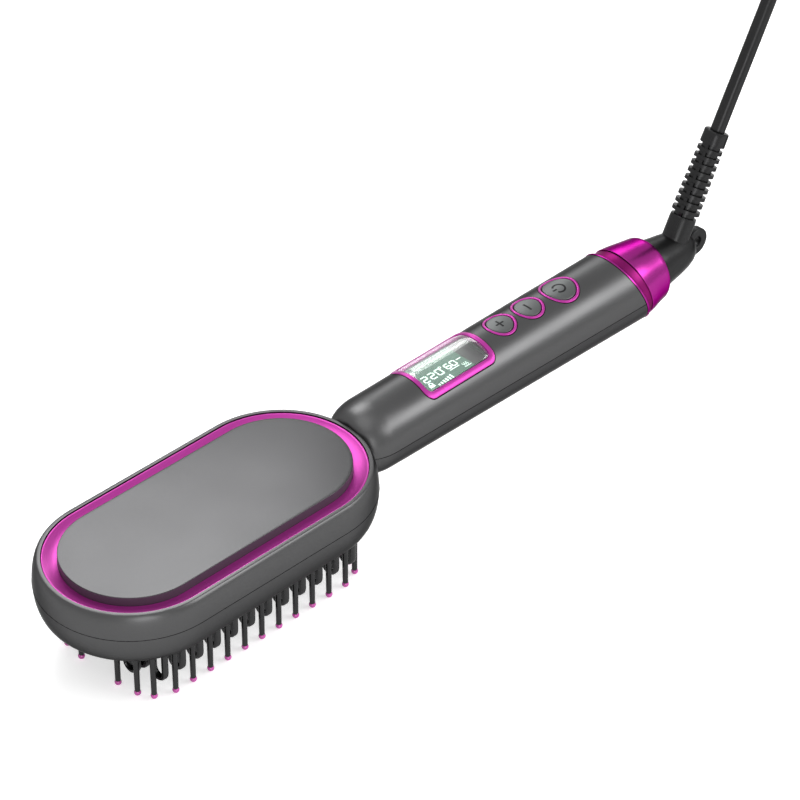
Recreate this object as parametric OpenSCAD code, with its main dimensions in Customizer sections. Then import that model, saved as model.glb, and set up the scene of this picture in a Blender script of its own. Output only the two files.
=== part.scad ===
// Heated hair straightening brush: oval comb head, round handle with display
// and three buttons, swivelling mains lead. Millimetres, +Z up, +X towards the
// lead. The brush lies level on its guide pin tips at z = 0.

/* [Head] */
// distance between the centres of the head's two round ends
head_straight = 63.5; // [50:0.5:90]
// outer half width of the head at its seam
shell_r = 32.5; // [30:0.1:40]
// half width of the top rim
rim_r = 30.3; // [29.5:0.1:31]
// half width at the lower edge of the shell
low_rim_r = 28; // [27:0.1:29]
// half width of the raised back plate
plate_r = 24; // [18:0.1:26]
// height of the back plate's flat top above the pin tips
plate_top_z = 41.1; // [40:0.1:46]
// height of the top rim
rim_top_z = 39.6; // [39:0.1:40]
// height of the deck that carries the back plate and the accent ring
deck_z = 37.2; // [36:0.1:38]
// height of the joint between the two shells
seam_z = 30.6; // [29:0.1:31]
// height of the lower edge of the shell
low_rim_z = 19.3; // [18:0.1:20]
// wall of the shells
wall = 1.8; // [1.2:0.1:2.2]
// drop of the accent ring's inner edge below its outer edge
ring_dish = 1.4; // [0.4:0.1:1.6]

/* [Comb] */
// distance between guide pins along the side
pin_pitch = 7.48; // [6.5:0.02:7.6]
// distance of the side pins from the middle line
pin_y = 24.6; // [24.4:0.1:25]
// radius of a pin's ball tip
tip_r = 1.2; // [1.1:0.05:1.6]
// radius of a pin's stem at the root
stem_r = 1.05; // [0.8:0.05:1.15]
// radius of a pin's stem at the tip
stem_tip_r = 0.92; // [0.6:0.02:1]
// height of the guard loops' lowest point above the pin tips
loop_low_z = 6.15; // [4:0.05:9]
// width of a guard loop across the head
loop_w = 7; // [6:0.1:7.4]
// thickness of a guard loop along the head
loop_t = 2.2; // [1.6:0.1:2.4]
// width of a guard loop's leg
loop_leg = 1.5; // [1.2:0.1:1.8]
// distance between guard loops across the head
loop_pitch_y = 8.56; // [8:0.02:8.8]
// thickness of a heating fin
fin_t = 1; // [0.6:0.1:1.4]
// clearance round a heating fin
fin_gap = 0.45; // [0.3:0.05:0.6]

/* [Handle] */
// height of the handle's axis
axis_z = 31.1; // [30.8:0.1:31.4]
// radius of the handle behind its rounded nose
front_r = 13.3; // [12.8:0.1:14]
// radius of the handle at the collar
rear_r = 14.4; // [13.8:0.1:15.2]
// radius of the neck where the nose meets the head
neck_r = 8; // [7.6:0.1:8.2]
// length of the rounded nose
nose_len = 10.6; // [8:0.1:12]
// distance from the middle of the head to the collar joint, on the axis
collar_x = 192.6; // [188:0.1:210]
// slope of the collar joint from square
collar_slant = 22.8; // [0:0.1:24]
// length of the collar on the axis
collar_len = 15.4; // [14:0.1:18]
// radius of the collar at its end
collar_end_r = 12.2; // [11.6:0.1:12.6]

/* [Display and buttons] */
// distance from the middle of the head to the middle of the display
display_x = 107; // [104:0.1:110]
// length of the display frame
frame_l = 33; // [28:0.1:34]
// width of the display frame, square across
frame_w = 20.4; // [18:0.1:21]
// width of the display frame's border
frame_border = 1.9; // [1.2:0.1:2.4]
// distance from the middle of the head to the plus button
plus_x = 134.2; // [133:0.1:136]
// distance from the middle of the head to the minus button
minus_x = 147.8; // [147.4:0.1:149]
// distance from the middle of the head to the power button
power_x = 163.3; // [162.9:0.1:165]
// outer radius of the small buttons' rings
small_ring_r = 6; // [5:0.1:6.2]
// outer radius of the power button's ring
power_ring_r = 7.2; // [6:0.1:7.4]
// width of a button's ring
ring_w = 1; // [0.8:0.1:1.3]
// clearance round a button's cap
cap_gap = 0.15; // [0.1:0.05:0.3]
// travel of a button
button_travel = 0.5; // [0.3:0.05:0.5]

/* [Swivel and lead] */
// radius of the swivel where it leaves the collar
swivel_r = 9.8; // [9.4:0.1:10.2]
// radius of the swivel's journal in the collar
journal_r = 8.5; // [7:0.1:9]
// running clearance of the journal
journal_gap = 0.05; // [0.02:0.01:0.1]
// distance from the middle of the head to the eyelet's hole
eyelet_x = 233.4; // [232:0.1:235]
// outer radius of the hanging eyelet
eyelet_r = 5.3; // [4.6:0.1:5.6]
// radius of the hanging eyelet's hole
eyelet_hole_r = 2.2; // [1.5:0.1:2.4]
// rise of the strain relief above the handle's axis, degrees
relief_angle = 61.3; // [55:0.1:66]
// length of the strain relief above its seat
relief_len = 42.2; // [36:0.1:46]
// radius of the strain relief's smooth base
relief_base_r = 4.9; // [4.6:0.1:5.2]
// radius of the strain relief at its top
relief_top_r = 4.5; // [4.2:0.1:4.8]
// number of ribs on the strain relief
relief_ribs = 10; // [6:1:10]
// diameter of the mains lead
lead_d = 5.3; // [4.8:0.1:5.6]
// distance between the turns of the put-away lead
coil_pitch = 5.9; // [5.9:0.1:6.2]
// smallest radius of the put-away lead
coil_in_r = 20.4; // [20:0.1:22]

/* [Hidden] */
$fn = 48;
gap = 0.1;
head_end = head_straight / 2 + shell_r;
// guide pins along each side, as many as the straight run takes with 5.7 to spare
side_pins = 2 * floor((head_straight / 2 + 5.7) / pin_pitch) + 1;
a_cos = cos(relief_angle);
a_sin = sin(relief_angle);
relief_x = eyelet_x - 10.8;
relief_z = axis_z + relief_base_r;
relief_far = relief_x + relief_len * a_cos + relief_top_r * a_sin;
mid_x = (relief_far - head_end) / 2;
nose_x = head_end - wall;
nose_end = nose_x + nose_len;
handle_end = collar_x + collar_len;
inner_rim_r = low_rim_r - 1.7;
flange_r = inner_rim_r + 1.1;
comb_z = low_rim_z + 0.2;
comb_top = comb_z + 2.5;
heat_z = comb_top + 0.8;
heat_top = heat_z + 1.2;
ptc_top = heat_top + 2.4;
mica_top = ptc_top + 0.5;
clamp_top = mica_top + 0.8;
heat_r = pin_y - 2.4;
recess_r = rim_r - 0.9;
board_z = axis_z + 1.9;
board_top = board_z + 1.4;
power_z = axis_z - 6.6;
power_top = power_z + 1.5;
bolt_x = [80, 178];
ptc_x = head_straight / 2 - 9.75;
screw_x = head_straight / 2 + 17.3;
lens_l = frame_l - 2 * frame_border;
lens_w = frame_w - 2 * frame_border;
lens_t = 1.3;
screen_w = lens_w - 2;
screen_t = 0.6;
holder_x = display_x - lens_l / 2;
board_x = holder_x - 2.4;
board_end = power_x + 10.7;
power_board_x = board_x + 5;
wire_x = board_x + 7;
sensor_at = [34, 9.6];

// half positions of the pins at each end: corner, shoulder, end row
end_pins = [[44.2, 21.9], [46.9, 17], [48, 8.9]];
end_shift = head_straight / 2 - 31.75;
pins = concat(
    [for (s = [-1, 1], i = [0:side_pins - 1])
        [(i - (side_pins - 1) / 2) * pin_pitch, s * pin_y]],
    [for (p = end_pins, sx = [-1, 1], sy = [-1, 1])
        [sx * (p[0] + end_shift), sy * p[1]]],
    [[48 + end_shift, 0]]);
rows = side_pins - 1;
screw_at = [for (x = [-1, 1], y = [-15.5, 15.5]) [x * rows / 2 * pin_pitch, y]];
loops = concat(
    [for (i = [-1:rows], j = [-2.5:2.5])
        [(i - (rows - 1) / 2) * pin_pitch, j * loop_pitch_y]],
    [for (s = [-1, 1], y = [-12.6, -4.2, 4.2, 12.6])
        [s * ((rows + 1) / 2 * pin_pitch + 3.76), y]]);
// loops that have the heating plate over them hold a fin
fins = [for (p = loops) if (norm([max(0, abs(p[0]) - head_straight / 2), p[1]]) < heat_r) p];

function arc_pts(r, z, a, b, t0, t1, n) =
    [for (i = [0:n]) let (t = t0 + (t1 - t0) * i / n) [r + a * cos(t), z + b * sin(t)]];
function handle_r(x) =
    front_r + (rear_r - front_r) * (x - nose_end) / (collar_x - nose_end);
function surf_z(r, y) = axis_z + sqrt(r * r - y * y);

// route of the lead from the strain relief to the coil, from the head's middle
lead_pts = [
    [242.9, 0, 73], [248.6, 0, 83.5], [254.4, 0, 94], [260.2, 0, 104.6],
    [266, 0, 115.2], [270, 0.3, 122], [275.5, 1.2, 128.2], [283, 2.6, 132.4],
    [291.5, 4.6, 133.4], [300, 6.6, 130.6], [307, 8.4, 124.6], [311.6, 9.6, 116.4],
    [313.6, 10, 106], [314, 10, 94], [314, 10, 82], [314, 10, 70], [314, 10, 58],
    [314, 10, 46], [314, 10, 35], [314, 9, 24.5], [314, 5.6, 15.4], [314, 0, 8.2],
    [314, -7, 3.9], [314, -14, 2.65]];

// coil of the put-away lead: in on the floor, out on top of that, then up and
// round to the plug that lies on it
coil_c = [358, -14];
coil_low = 4;
coil_up = 3 + 1 / 6;
coil_over = 1 / 3;
coil_rings = 24;
over_r = 24;
plug_half_t = 6.85;
tie_at = 126;
tie_t = 0.6;
coil_top = lead_d + coil_pitch;
coil_end = coil_low + coil_up;
coil_out_r = coil_in_r + coil_up * coil_pitch;
plug_z = coil_top + plug_half_t + 0.1;

function ease(u) = u <= 0 ? 0 : u >= 1 ? 1 : u * u * (3 - 2 * u);
function coil_r(t) = coil_in_r + abs(t - coil_low) * coil_pitch;
function tie_lift(t) = 1.35 * tie_t * pow(max(0, cos(360 * t + 180 - tie_at)), 4);
function coil_z(t) = lead_d / 2 + tie_lift(t) + coil_pitch * ease((t - coil_low + 0.2) / 0.4)
    + (plug_z - lead_d / 2 - coil_pitch) * ease((t - coil_end + 0.1) / 0.3);
function coil_pt(t) = t <= coil_end
    ? [coil_c[0] - coil_r(t) * cos(360 * t), coil_c[1] - coil_r(t) * sin(360 * t), coil_z(t)]
    : [coil_c[0] - (coil_out_r - over_r) * cos(360 * coil_end) - over_r * cos(360 * t),
       coil_c[1] - (coil_out_r - over_r) * sin(360 * coil_end) - over_r * sin(360 * t),
       coil_z(t)];
coil_last = coil_pt(coil_end + coil_over);
coil_pts = concat(
    [for (i = [0:round((coil_end + coil_over) * coil_rings)]) coil_pt(i / coil_rings)],
    [for (y = [2, 5]) coil_last + [0, y, 0]]);
plug_at = coil_last + [0, 5, 0];

function unit(v) = v / norm(v);
function way(p, i) = unit(p[min(i + 1, len(p) - 1)] - p[max(i - 1, 0)]);
function ring_at(c, d, r, n, up) =
    let (u = unit(cross(up, d)), w = cross(d, u))
    [for (k = [0:n - 1]) c + r * (cos(360 * k / n) * u + sin(360 * k / n) * w)];

// tube swept along a list of points
module tube(p, r, n, up, d0 = undef, d1 = undef) {
    last = len(p) - 1;
    dirs = [for (i = [0:last])
        i == 0 && !is_undef(d0) ? d0 : i == last && !is_undef(d1) ? d1 : way(p, i)];
    pts = [for (i = [0:last]) each ring_at(p[i], dirs[i], r, n, up)];
    faces = concat(
        [[for (k = [0:n - 1]) k]],
        [for (i = [0:last - 1], k = [0:n - 1])
            each [[i * n + k, (i + 1) * n + k, i * n + (k + 1) % n],
                  [i * n + (k + 1) % n, (i + 1) * n + k, (i + 1) * n + (k + 1) % n]]],
        [[for (k = [n - 1:-1:0]) last * n + k]]);
    polyhedron(points = pts, faces = faces, convexity = 10);
}

// least gap between turns and the length, measured on the coil's points
echo(coil_least_gap = min([for (i = [0:len(coil_pts) - 13], j = [i + 12:len(coil_pts) - 1])
    norm(coil_pts[i] - coil_pts[j])]) - lead_d);
function run(p, n) = n == 0 ? 0 : run(p, n - 1) + norm(p[n] - p[n - 1]);
echo(lead_length = run(lead_pts, len(lead_pts) - 1), coil_length = run(coil_pts, len(coil_pts) - 1));

shell_grey = [0.33, 0.33, 0.34];
pink = [0.8, 0.22, 0.62];
black = [0.12, 0.12, 0.13];
steel = [0.7, 0.7, 0.72];
board_green = [0.1, 0.4, 0.25];
brass = [0.8, 0.65, 0.3];

module place() translate([-mid_x, 0, 0]) children();

// turns a radius and length profile round the handle's axis
module on_axis() translate([0, 0, axis_z]) rotate([0, 90, 0]) rotate_extrude($fn = 96) children();

// sweeps a half width and height profile round the head's oval
module oval() {
    for (s = [0, 180]) rotate([0, 0, s]) {
        translate([head_straight / 2, 0, 0]) rotate([0, 0, -90])
            rotate_extrude(angle = 180, $fn = 96) children();
        translate([-head_straight / 2, 0, 0]) rotate([90, 0, 90])
            linear_extrude(head_straight) children();
    }
}

module oval_plate(r, z0, z1) translate([0, 0, z0]) linear_extrude(z1 - z0) {
    square([head_straight, 2 * r], center = true);
    for (s = [-1, 1]) translate([s * head_straight / 2, 0]) circle(r, $fn = 96);
}

module rod(p, q, r) {
    v = q - p;
    translate(p) rotate([0, acos(v[2] / norm(v)), atan2(v[1], v[0])]) cylinder(h = norm(v), r = r);
}

module rounded(l, w, r) {
    square([l - 2 * r, w], center = true);
    square([l, w - 2 * r], center = true);
    for (x = [-1, 1], y = [-1, 1]) translate([x * (l / 2 - r), y * (w / 2 - r)]) circle(r);
}

// space behind the slanted collar joint, moved back by dx
module behind_joint(dx) translate([collar_x + dx, 0, axis_z]) rotate([0, -collar_slant, 0])
    translate([0, -30, -40]) cube([60, 60, 80]);

module head_outer() oval() polygon(concat([[0, low_rim_z]],
    arc_pts(low_rim_r, seam_z, shell_r - low_rim_r, seam_z - low_rim_z, -90, 0, 9),
    arc_pts(rim_r, seam_z, shell_r - rim_r, rim_top_z - seam_z, 10, 90, 8),
    [[0, rim_top_z]]));

module head_inner() {
    oval() polygon(concat([[0, low_rim_z + 1.2], [flange_r, low_rim_z + 1.2]],
        [for (p = arc_pts(low_rim_r - wall, seam_z, shell_r - low_rim_r,
                seam_z - low_rim_z, -60, 0, 6)) [max(p[0], flange_r), p[1]]],
        [[shell_r - wall - 0.6, deck_z - 1.8], [0, deck_z - 1.8]]));
    oval_plate(inner_rim_r, low_rim_z - 1, low_rim_z + 2);
}

module handle_outer() {
    difference() {
        on_axis() polygon(concat([[0, nose_x - 6], [neck_r, nose_x - 6]],
            [for (i = [0:9]) let (t = 90 * i / 9)
                [neck_r + (front_r - neck_r) * sin(t), nose_end - nose_len * cos(t)]],
            [[handle_r(handle_end), handle_end], [0, handle_end]]));
        behind_joint(0);
    }
    on_axis() polygon([[0, collar_x - 12], [rear_r - 2.4, collar_x - 12],
        [rear_r - 2.4, handle_end - 6.5], [0, handle_end - 6.5]]);
}

module handle_inner() {
    on_axis() polygon([[0, nose_x + 3.6], [neck_r, nose_x + 3.6],
        [front_r - wall, nose_end], [rear_r - wall - 0.3, collar_x - 13],
        [rear_r - 4, collar_x - 11.4], [rear_r - 4, handle_end - 4],
        [0, handle_end - 4]]);
    on_axis() polygon([[0, nose_x - 14], [neck_r - 1.8, nose_x - 14],
        [neck_r - 1.8, nose_x + 6], [0, nose_x + 6]]);
}

module shell() difference() {
    union() {
        head_outer();
        handle_outer();
    }
    head_inner();
    handle_inner();
    oval_plate(recess_r, deck_z, deck_z + 20);
}

module frame_shape(l, w, r) translate([display_x, 0, axis_z])
    linear_extrude(rear_r + 4) rounded(l, w, r);

module bolt_posts(r, z0, z1) for (x = bolt_x) translate([x, 0, z0]) cylinder(h = z1 - z0, r = r);

button_at = [[plus_x, small_ring_r], [minus_x, small_ring_r], [power_x, power_ring_r]];

module upper_shell() color(shell_grey) place() difference() {
    union() {
        intersection() {
            shell();
            translate([-100, -60, seam_z]) cube([400, 120, 60]);
        }
        intersection() {
            bolt_posts(2.6, seam_z, axis_z + rear_r);
            on_axis() polygon([[0, 60], [front_r - 1, nose_end], [rear_r - 1.4, collar_x - 8],
                [0, collar_x - 8]]);
        }
        for (p = [[-head_straight / 2 - 25, 0], [-25, 25.4], [25, 25.4], [-25, -25.4],
                [25, -25.4]])
            translate([p[0], p[1], comb_top + 0.05]) cylinder(h = deck_z - 1 - comb_top, r = 1.2);
    }
    frame_shape(frame_l + gap, frame_w + gap, 3.2);
    for (b = button_at) translate([b[0], 0, axis_z]) cylinder(h = 30, r = b[1] + gap / 2);
    bolt_posts(1.1, seam_z - 1, axis_z + 9);
}

module lower_shell() color(shell_grey) place() difference() {
    union() {
        intersection() {
            shell();
            translate([-100, -60, seam_z - 60]) cube([400, 120, 60]);
        }
        intersection() {
            bolt_posts(2.6, axis_z - rear_r, seam_z);
            handle_outer();
        }
        intersection() {
            for (x = [board_x + 1, board_end - 3], y = [-8.6, 6.2]) translate([x, y, axis_z - 20])
                cube([2, 2.4, 20 + 1.9]);
            on_axis() square([front_r - 0.8, collar_x]);
        }
        intersection() {
            for (x = [power_board_x + 4, power_board_x + 67]) translate([x, -8, axis_z - 20])
                cube([2, 16, 20 - 6.6]);
            on_axis() square([front_r - 0.8, collar_x]);
        }
    }
    bolt_posts(1.25, 0, seam_z + 1);
    bolt_posts(2.3, 0, axis_z - 9.2);
}

module accent_ring() color(pink) place() oval() polygon([[plate_r + gap, deck_z],
    [recess_r - gap / 2, deck_z], [recess_r - gap / 2, rim_top_z - 0.4],
    [plate_r + gap, rim_top_z - 0.4 - ring_dish]]);

module back_plate() color([0.5, 0.5, 0.52]) place() oval() polygon(concat([[0, deck_z],
    [plate_r, deck_z]], arc_pts(plate_r - 0.5, plate_top_z - 0.5, 0.5, 0.5, 0, 90, 3),
    [[0, plate_top_z]]));

module loop_face(w, low) {
    translate([0, low + w / 2]) circle(w / 2, $fn = 32);
    translate([-w / 2, low + w / 2]) square([w, comb_z + 0.5 - low - w / 2]);
}

module comb_plate() color(black) place() difference() {
    union() {
        oval_plate(inner_rim_r - gap, comb_z, comb_z + 2);
        oval_plate(flange_r - gap, low_rim_z + 1.3, comb_top);
        for (p = screw_at) translate([p[0], p[1], comb_z + 1]) cylinder(h = heat_z - comb_z - 1, r = 2.1);
        for (p = loops) translate([p[0] - loop_t / 2, p[1], 0]) rotate([90, 0, 90])
            linear_extrude(loop_t) difference() {
                loop_face(loop_w, loop_low_z);
                loop_face(loop_w - 2 * loop_leg, loop_low_z + loop_leg);
            }
    }
    for (p = fins) translate([p[0], p[1], comb_top])
        cube([fin_t + 2 * fin_gap, loop_w - 2 * loop_leg, 8], center = true);
    for (p = pins) translate([p[0], p[1], comb_z - 1]) cylinder(h = 3, r = stem_r, $fn = 24);
    for (p = screw_at) translate([p[0], p[1], comb_z + 0.6]) cylinder(h = 6, r = 0.9);
}

module guide_pins() color([0.28, 0.28, 0.29]) place() for (p = pins) translate([p[0], p[1], 0]) {
    translate([0, 0, tip_r]) cylinder(h = comb_z - tip_r, r1 = stem_tip_r, r2 = stem_r, $fn = 24);
    translate([0, 0, comb_z]) cylinder(h = 2, r = stem_r, $fn = 24);
}

module pin_tips() color(pink) place() for (p = pins) translate([p[0], p[1], tip_r])
    difference() {
        sphere(tip_r, $fn = 24);
        cylinder(h = comb_z - tip_r, r1 = stem_tip_r, r2 = stem_r, $fn = 24);
    }

module heating_plate() color([0.75, 0.75, 0.77]) place() difference() {
    union() {
        oval_plate(heat_r, heat_z, heat_top);
        for (p = fins) translate([p[0] - fin_t / 2, p[1] - loop_w / 2 + loop_leg + fin_gap,
                loop_low_z + loop_leg + 1.6])
            cube([fin_t, loop_w - 2 * loop_leg - 2 * fin_gap, heat_z - loop_low_z - loop_leg - 1]);
        for (s = [-1, 1]) translate([s * screw_x, 0, heat_z]) cylinder(h = mica_top - heat_z, r = 2.4);
    }
    for (s = [-1, 1]) translate([s * screw_x, 0, heat_z - 1]) cylinder(h = 12, r = 1);
    for (p = screw_at) translate([p[0], p[1], heat_z - 1]) cylinder(h = 6, r = 1.1);
}

// pan head screw standing on its head's underside
module screw(shank_r, shank_l, head_r, head_h) {
    translate([0, 0, -shank_l]) cylinder(h = shank_l, r = shank_r);
    difference() {
        cylinder(h = head_h, r = head_r);
        for (a = [0, 90]) rotate([0, 0, a]) translate([0, 0, head_h])
            cube([head_r * 1.2, head_r * 0.28, head_h], center = true);
    }
}

module plate_screws() color(steel) place() for (p = screw_at)
    translate([p[0], p[1], heat_top]) screw(0.9, heat_top - comb_z - 0.8, 1.8, 1.1);

module ptc_heaters() color([0.85, 0.82, 0.75]) place() for (s = [-1, 1])
    translate([s * ptc_x - 20, -8, heat_top]) cube([40, 16, ptc_top - heat_top]);

module mica_sheet() color([0.8, 0.7, 0.5]) place() translate([-ptc_x - 21, -9, ptc_top])
    cube([2 * ptc_x + 42, 18, mica_top - ptc_top]);

module heater_clamp() color(steel) place() difference() {
    translate([-screw_x - 3, -7, mica_top]) cube([2 * screw_x + 6, 14, clamp_top - mica_top]);
    for (s = [-1, 1]) translate([s * screw_x, 0, mica_top - 1]) cylinder(h = 3, r = 1.1);
    for (x = [-30:15:30]) translate([x - 3, -4, mica_top - 1]) cube([6, 8, 3]);
}

module clamp_screws() color(steel) place() for (s = [-1, 1])
    translate([s * screw_x, 0, clamp_top]) screw(1, clamp_top - heat_z, 1.9, 1.2);

module thermistor() color([0.2, 0.2, 0.2]) place() 
    translate([sensor_at[0], sensor_at[1], heat_top]) cube([5, 3, 1.8]);

module thermal_fuse() color([0.85, 0.85, 0.8]) place() translate([18, 0, clamp_top + 1.6])
    rotate([0, 90, 0]) cylinder(h = 9, r = 1.6);

module heater_wires() color([0.8, 0.8, 0.75]) place() for (s = [-1, 1]) {
    rod([42, s * 3.9, axis_z - 2.5], [wire_x, s * 3.9, axis_z - 2.5], 0.9);
    translate([wire_x, s * 3.9, power_top]) cylinder(h = axis_z - 2.5 - power_top, r = 0.9);
    translate([42, s * 3.9, clamp_top]) cylinder(h = axis_z - 2.5 - clamp_top, r = 0.9);
    translate([42, s * 3.9, axis_z - 2.5]) sphere(0.9);
    translate([wire_x, s * 3.9, axis_z - 2.5]) sphere(0.9);
}

// flat two core ribbon from the thermistor to the control board
module sensor_wires() color([0.8, 0.15, 0.1]) place() {
    x = sensor_at[0] + 1.6;
    y = sensor_at[1] + 1;
    translate([x, y, heat_top + 1.8]) cube([1.7, 0.9, board_top + 0.9 - heat_top - 1.8]);
    translate([x, 2.7, board_top]) cube([1.7, y + 0.9 - 2.7, 0.9]);
    translate([x, 2.7, board_top]) cube([board_x + 2 - x, 1.7, 0.9]);
}

module shell_screws() color(steel) place() for (x = bolt_x) translate([x, 0, axis_z - 9.2])
    rotate([180, 0, 0]) screw(1.1, 16, 2.1, 1.4);

module display_frame() color(pink) place() difference() {
    intersection() {
        on_axis() polygon([[handle_r(nose_end) - wall, display_x - 25],
            [handle_r(display_x - 25) + 0.3, display_x - 25],
            [handle_r(display_x + 25) + 0.3, display_x + 25],
            [handle_r(display_x) - wall, display_x + 25]]);
        frame_shape(frame_l, frame_w, 3.2);
    }
    frame_shape(lens_l, lens_w, 2);
}

module display_lens() color([0.75, 0.85, 0.8, 0.4]) place() intersection() {
    on_axis() polygon([[handle_r(display_x) - lens_t, display_x - 25],
        [handle_r(display_x - 25) + 0.05, display_x - 25],
        [handle_r(display_x + 25) + 0.05, display_x + 25],
        [handle_r(display_x) - lens_t, display_x + 25]]);
    frame_shape(lens_l - gap, lens_w - gap, 2);
}

screen_top = surf_z(handle_r(display_x) - lens_t, screen_w / 2) - gap;

module display_screen() color([0.15, 0.42, 0.32]) place()
    translate([holder_x + gap / 2, -screen_w / 2, screen_top - screen_t])
        cube([lens_l - gap, screen_w, screen_t]);

module lcd_module() color([0.25, 0.27, 0.26]) place()
    translate([holder_x + 1, -screen_w / 2, board_top + 2])
        cube([lens_l - 2, screen_w, screen_top - screen_t - board_top - 2]);

module lcd_holder() color([0.85, 0.85, 0.83]) place() difference() {
    translate([holder_x, -lens_w / 2, board_top]) cube([lens_l, lens_w, 2]);
    translate([holder_x + 2, -lens_w / 2 + 2, board_top - 1])
        cube([lens_l - 4, lens_w - 4, 4]);
}

module control_board() color(board_green) place() 
    translate([board_x, -9.8, board_z]) cube([board_end - board_x, 19.6, board_top - board_z]);

module control_chip() color(black) place() 
    translate([board_x + 22, -3, board_z - 1.3]) cube([6, 6, 1.3]);

switch_top = board_top + 3;

module tact_switches() color(black) place() for (b = button_at) translate([b[0], 0, board_top]) {
    translate([-2.5, -2.5, 0]) cube([5, 5, 2]);
    cylinder(h = switch_top - board_top, r = 1.3);
}

function ring_low(r) = surf_z(front_r - wall, r) - 0.3;

module button_rings() color(pink) place() for (b = button_at) intersection() {
    translate([b[0], 0, ring_low(b[1])]) difference() {
        cylinder(h = 20, r = b[1]);
        translate([0, 0, -1]) cylinder(h = 30, r = b[1] - ring_w);
    }
    on_axis() polygon([[0, 100], [handle_r(100) + 0.25, 100],
        [handle_r(190) + 0.25, 190], [0, 190]]);
}

module button(x, ring_r) place() intersection() {
    translate([x, 0, 0]) {
        translate([0, 0, ring_low(ring_r) - gap - 1]) cylinder(h = 12, r = ring_r - ring_w - cap_gap);
        translate([0, 0, ring_low(ring_r) - gap - 1.2]) cylinder(h = 1.2, r = ring_r - 0.4);
        translate([0, 0, switch_top + button_travel + 0.1])
            cylinder(h = ring_low(ring_r) - switch_top - button_travel - 0.4, r = 1.5);
    }
    on_axis() polygon([[0, 100], [handle_r(100) + 0.15, 100],
        [handle_r(190) + 0.15, 190], [0, 190]]);
}

module plus_button() color([0.55, 0.56, 0.56]) button(plus_x, small_ring_r);
module minus_button() color([0.55, 0.56, 0.56]) button(minus_x, small_ring_r);
module power_button() color([0.55, 0.56, 0.56]) button(power_x, power_ring_r);

module power_board() color(board_green) place() 
    translate([power_board_x, -8.2, power_z]) cube([72, 16.4, power_top - power_z]);

module transformer() color([0.9, 0.8, 0.3]) place() {
    translate([power_board_x + 33, -5.5, power_top]) cube([14, 11, 1.2]);
    translate([power_board_x + 35, -4.5, power_top + 1]) cube([10, 9, 4]);
}

module mains_capacitor() color([0.2, 0.25, 0.5]) place()
    translate([power_board_x + 51, 0, power_top + 2.6]) rotate([0, 90, 0]) cylinder(h = 12, r = 2.6);

module triac() color(black) place() translate([power_board_x + 11, -5, power_top]) {
    cube([10, 8, 3.6]);
    translate([2, 8, 0]) cube([6, 2.5, 1]);
}

module board_fuse() color([0.9, 0.9, 0.85]) place()
    translate([power_board_x + 25, -4, power_top + 1.5]) rotate([-90, 0, 0]) cylinder(h = 8, r = 1.5);

module mains_wires() color([0.2, 0.35, 0.7]) place() for (s = [-1, 1]) {
    x = power_board_x + 69;
    z = power_top + 2.2;
    translate([x, s * 4.7, power_top]) cylinder(h = z - power_top, r = 0.9);
    translate([x, s * 4.7, z]) sphere(0.9);
    rod([x, s * 4.7, z], [collar_x - 6, s * 4.7, z], 0.9);
}

module collar() color(pink) place() difference() {
    union() {
        intersection() {
            on_axis() polygon([[0, collar_x - 10], [handle_r(collar_x - 10) + 0.2, collar_x - 10],
                [handle_r(collar_x + 10) + 0.1, collar_x + 10], [0, collar_x + 10]]);
            difference() {
                behind_joint(0.05);
                behind_joint(1.3);
            }
        }
        intersection() {
            on_axis() polygon([[0, collar_x - 10], [rear_r - 0.3, collar_x - 10],
                [rear_r - 0.8, collar_x + 2], [rear_r - 1.6, collar_x + 8], [0, collar_x + 8]]);
            difference() {
                behind_joint(1.2);
                behind_joint(5.2);
            }
        }
        intersection() {
            on_axis() polygon(concat([[0, collar_x - 8], [rear_r - 0.2, collar_x - 8],
                [rear_r - 0.5, collar_x], [rear_r - 1.1, collar_x + 5],
                [collar_end_r + 0.5, collar_x + 9]],
                [[collar_end_r + 0.1, handle_end - 2], [collar_end_r - 0.1, handle_end - 0.7],
                [collar_end_r - 0.8, handle_end], [0, handle_end]]));
            behind_joint(5.1);
        }
    }
    on_axis() translate([0, collar_x - 30]) square([rear_r - 2.35, collar_len + 25]);
    on_axis() translate([0, collar_x]) square([journal_r + journal_gap, 60]);
}

module contact_carrier() color([0.9, 0.9, 0.88]) place() difference() {
    translate([collar_x - 8, 0, axis_z]) rotate([0, 90, 0]) cylinder(h = 5, r = rear_r - 4.05);
    for (z = [5.5, -2.5]) translate([collar_x - 9, 0, axis_z + z]) rotate([0, 90, 0])
        cylinder(h = 8, r = 0.8);
    for (s = [-1, 1]) rod([collar_x - 9, s * 4.7, power_top + 2.2],
        [collar_x - 6, s * 4.7, power_top + 2.2], 0.9);
}

module contact_pins() color(brass) place() for (z = [5.5, -2.5])
    translate([collar_x - 8, 0, axis_z + z]) rotate([0, 90, 0]) {
        cylinder(h = 7.6, r = 0.8);
    }

// the swivel's parts, told from the strain relief's seat
module relief_at(s) translate([relief_x + s * a_cos, 0, relief_z + s * a_sin])
    rotate([0, 90 - relief_angle, 0]) children();

clip_x = handle_end - 6.1;
eyelet_z = axis_z - 0.3;
eyelet_t = 3.4;
dome_end = eyelet_x - eyelet_hole_r - 0.3;

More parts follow.
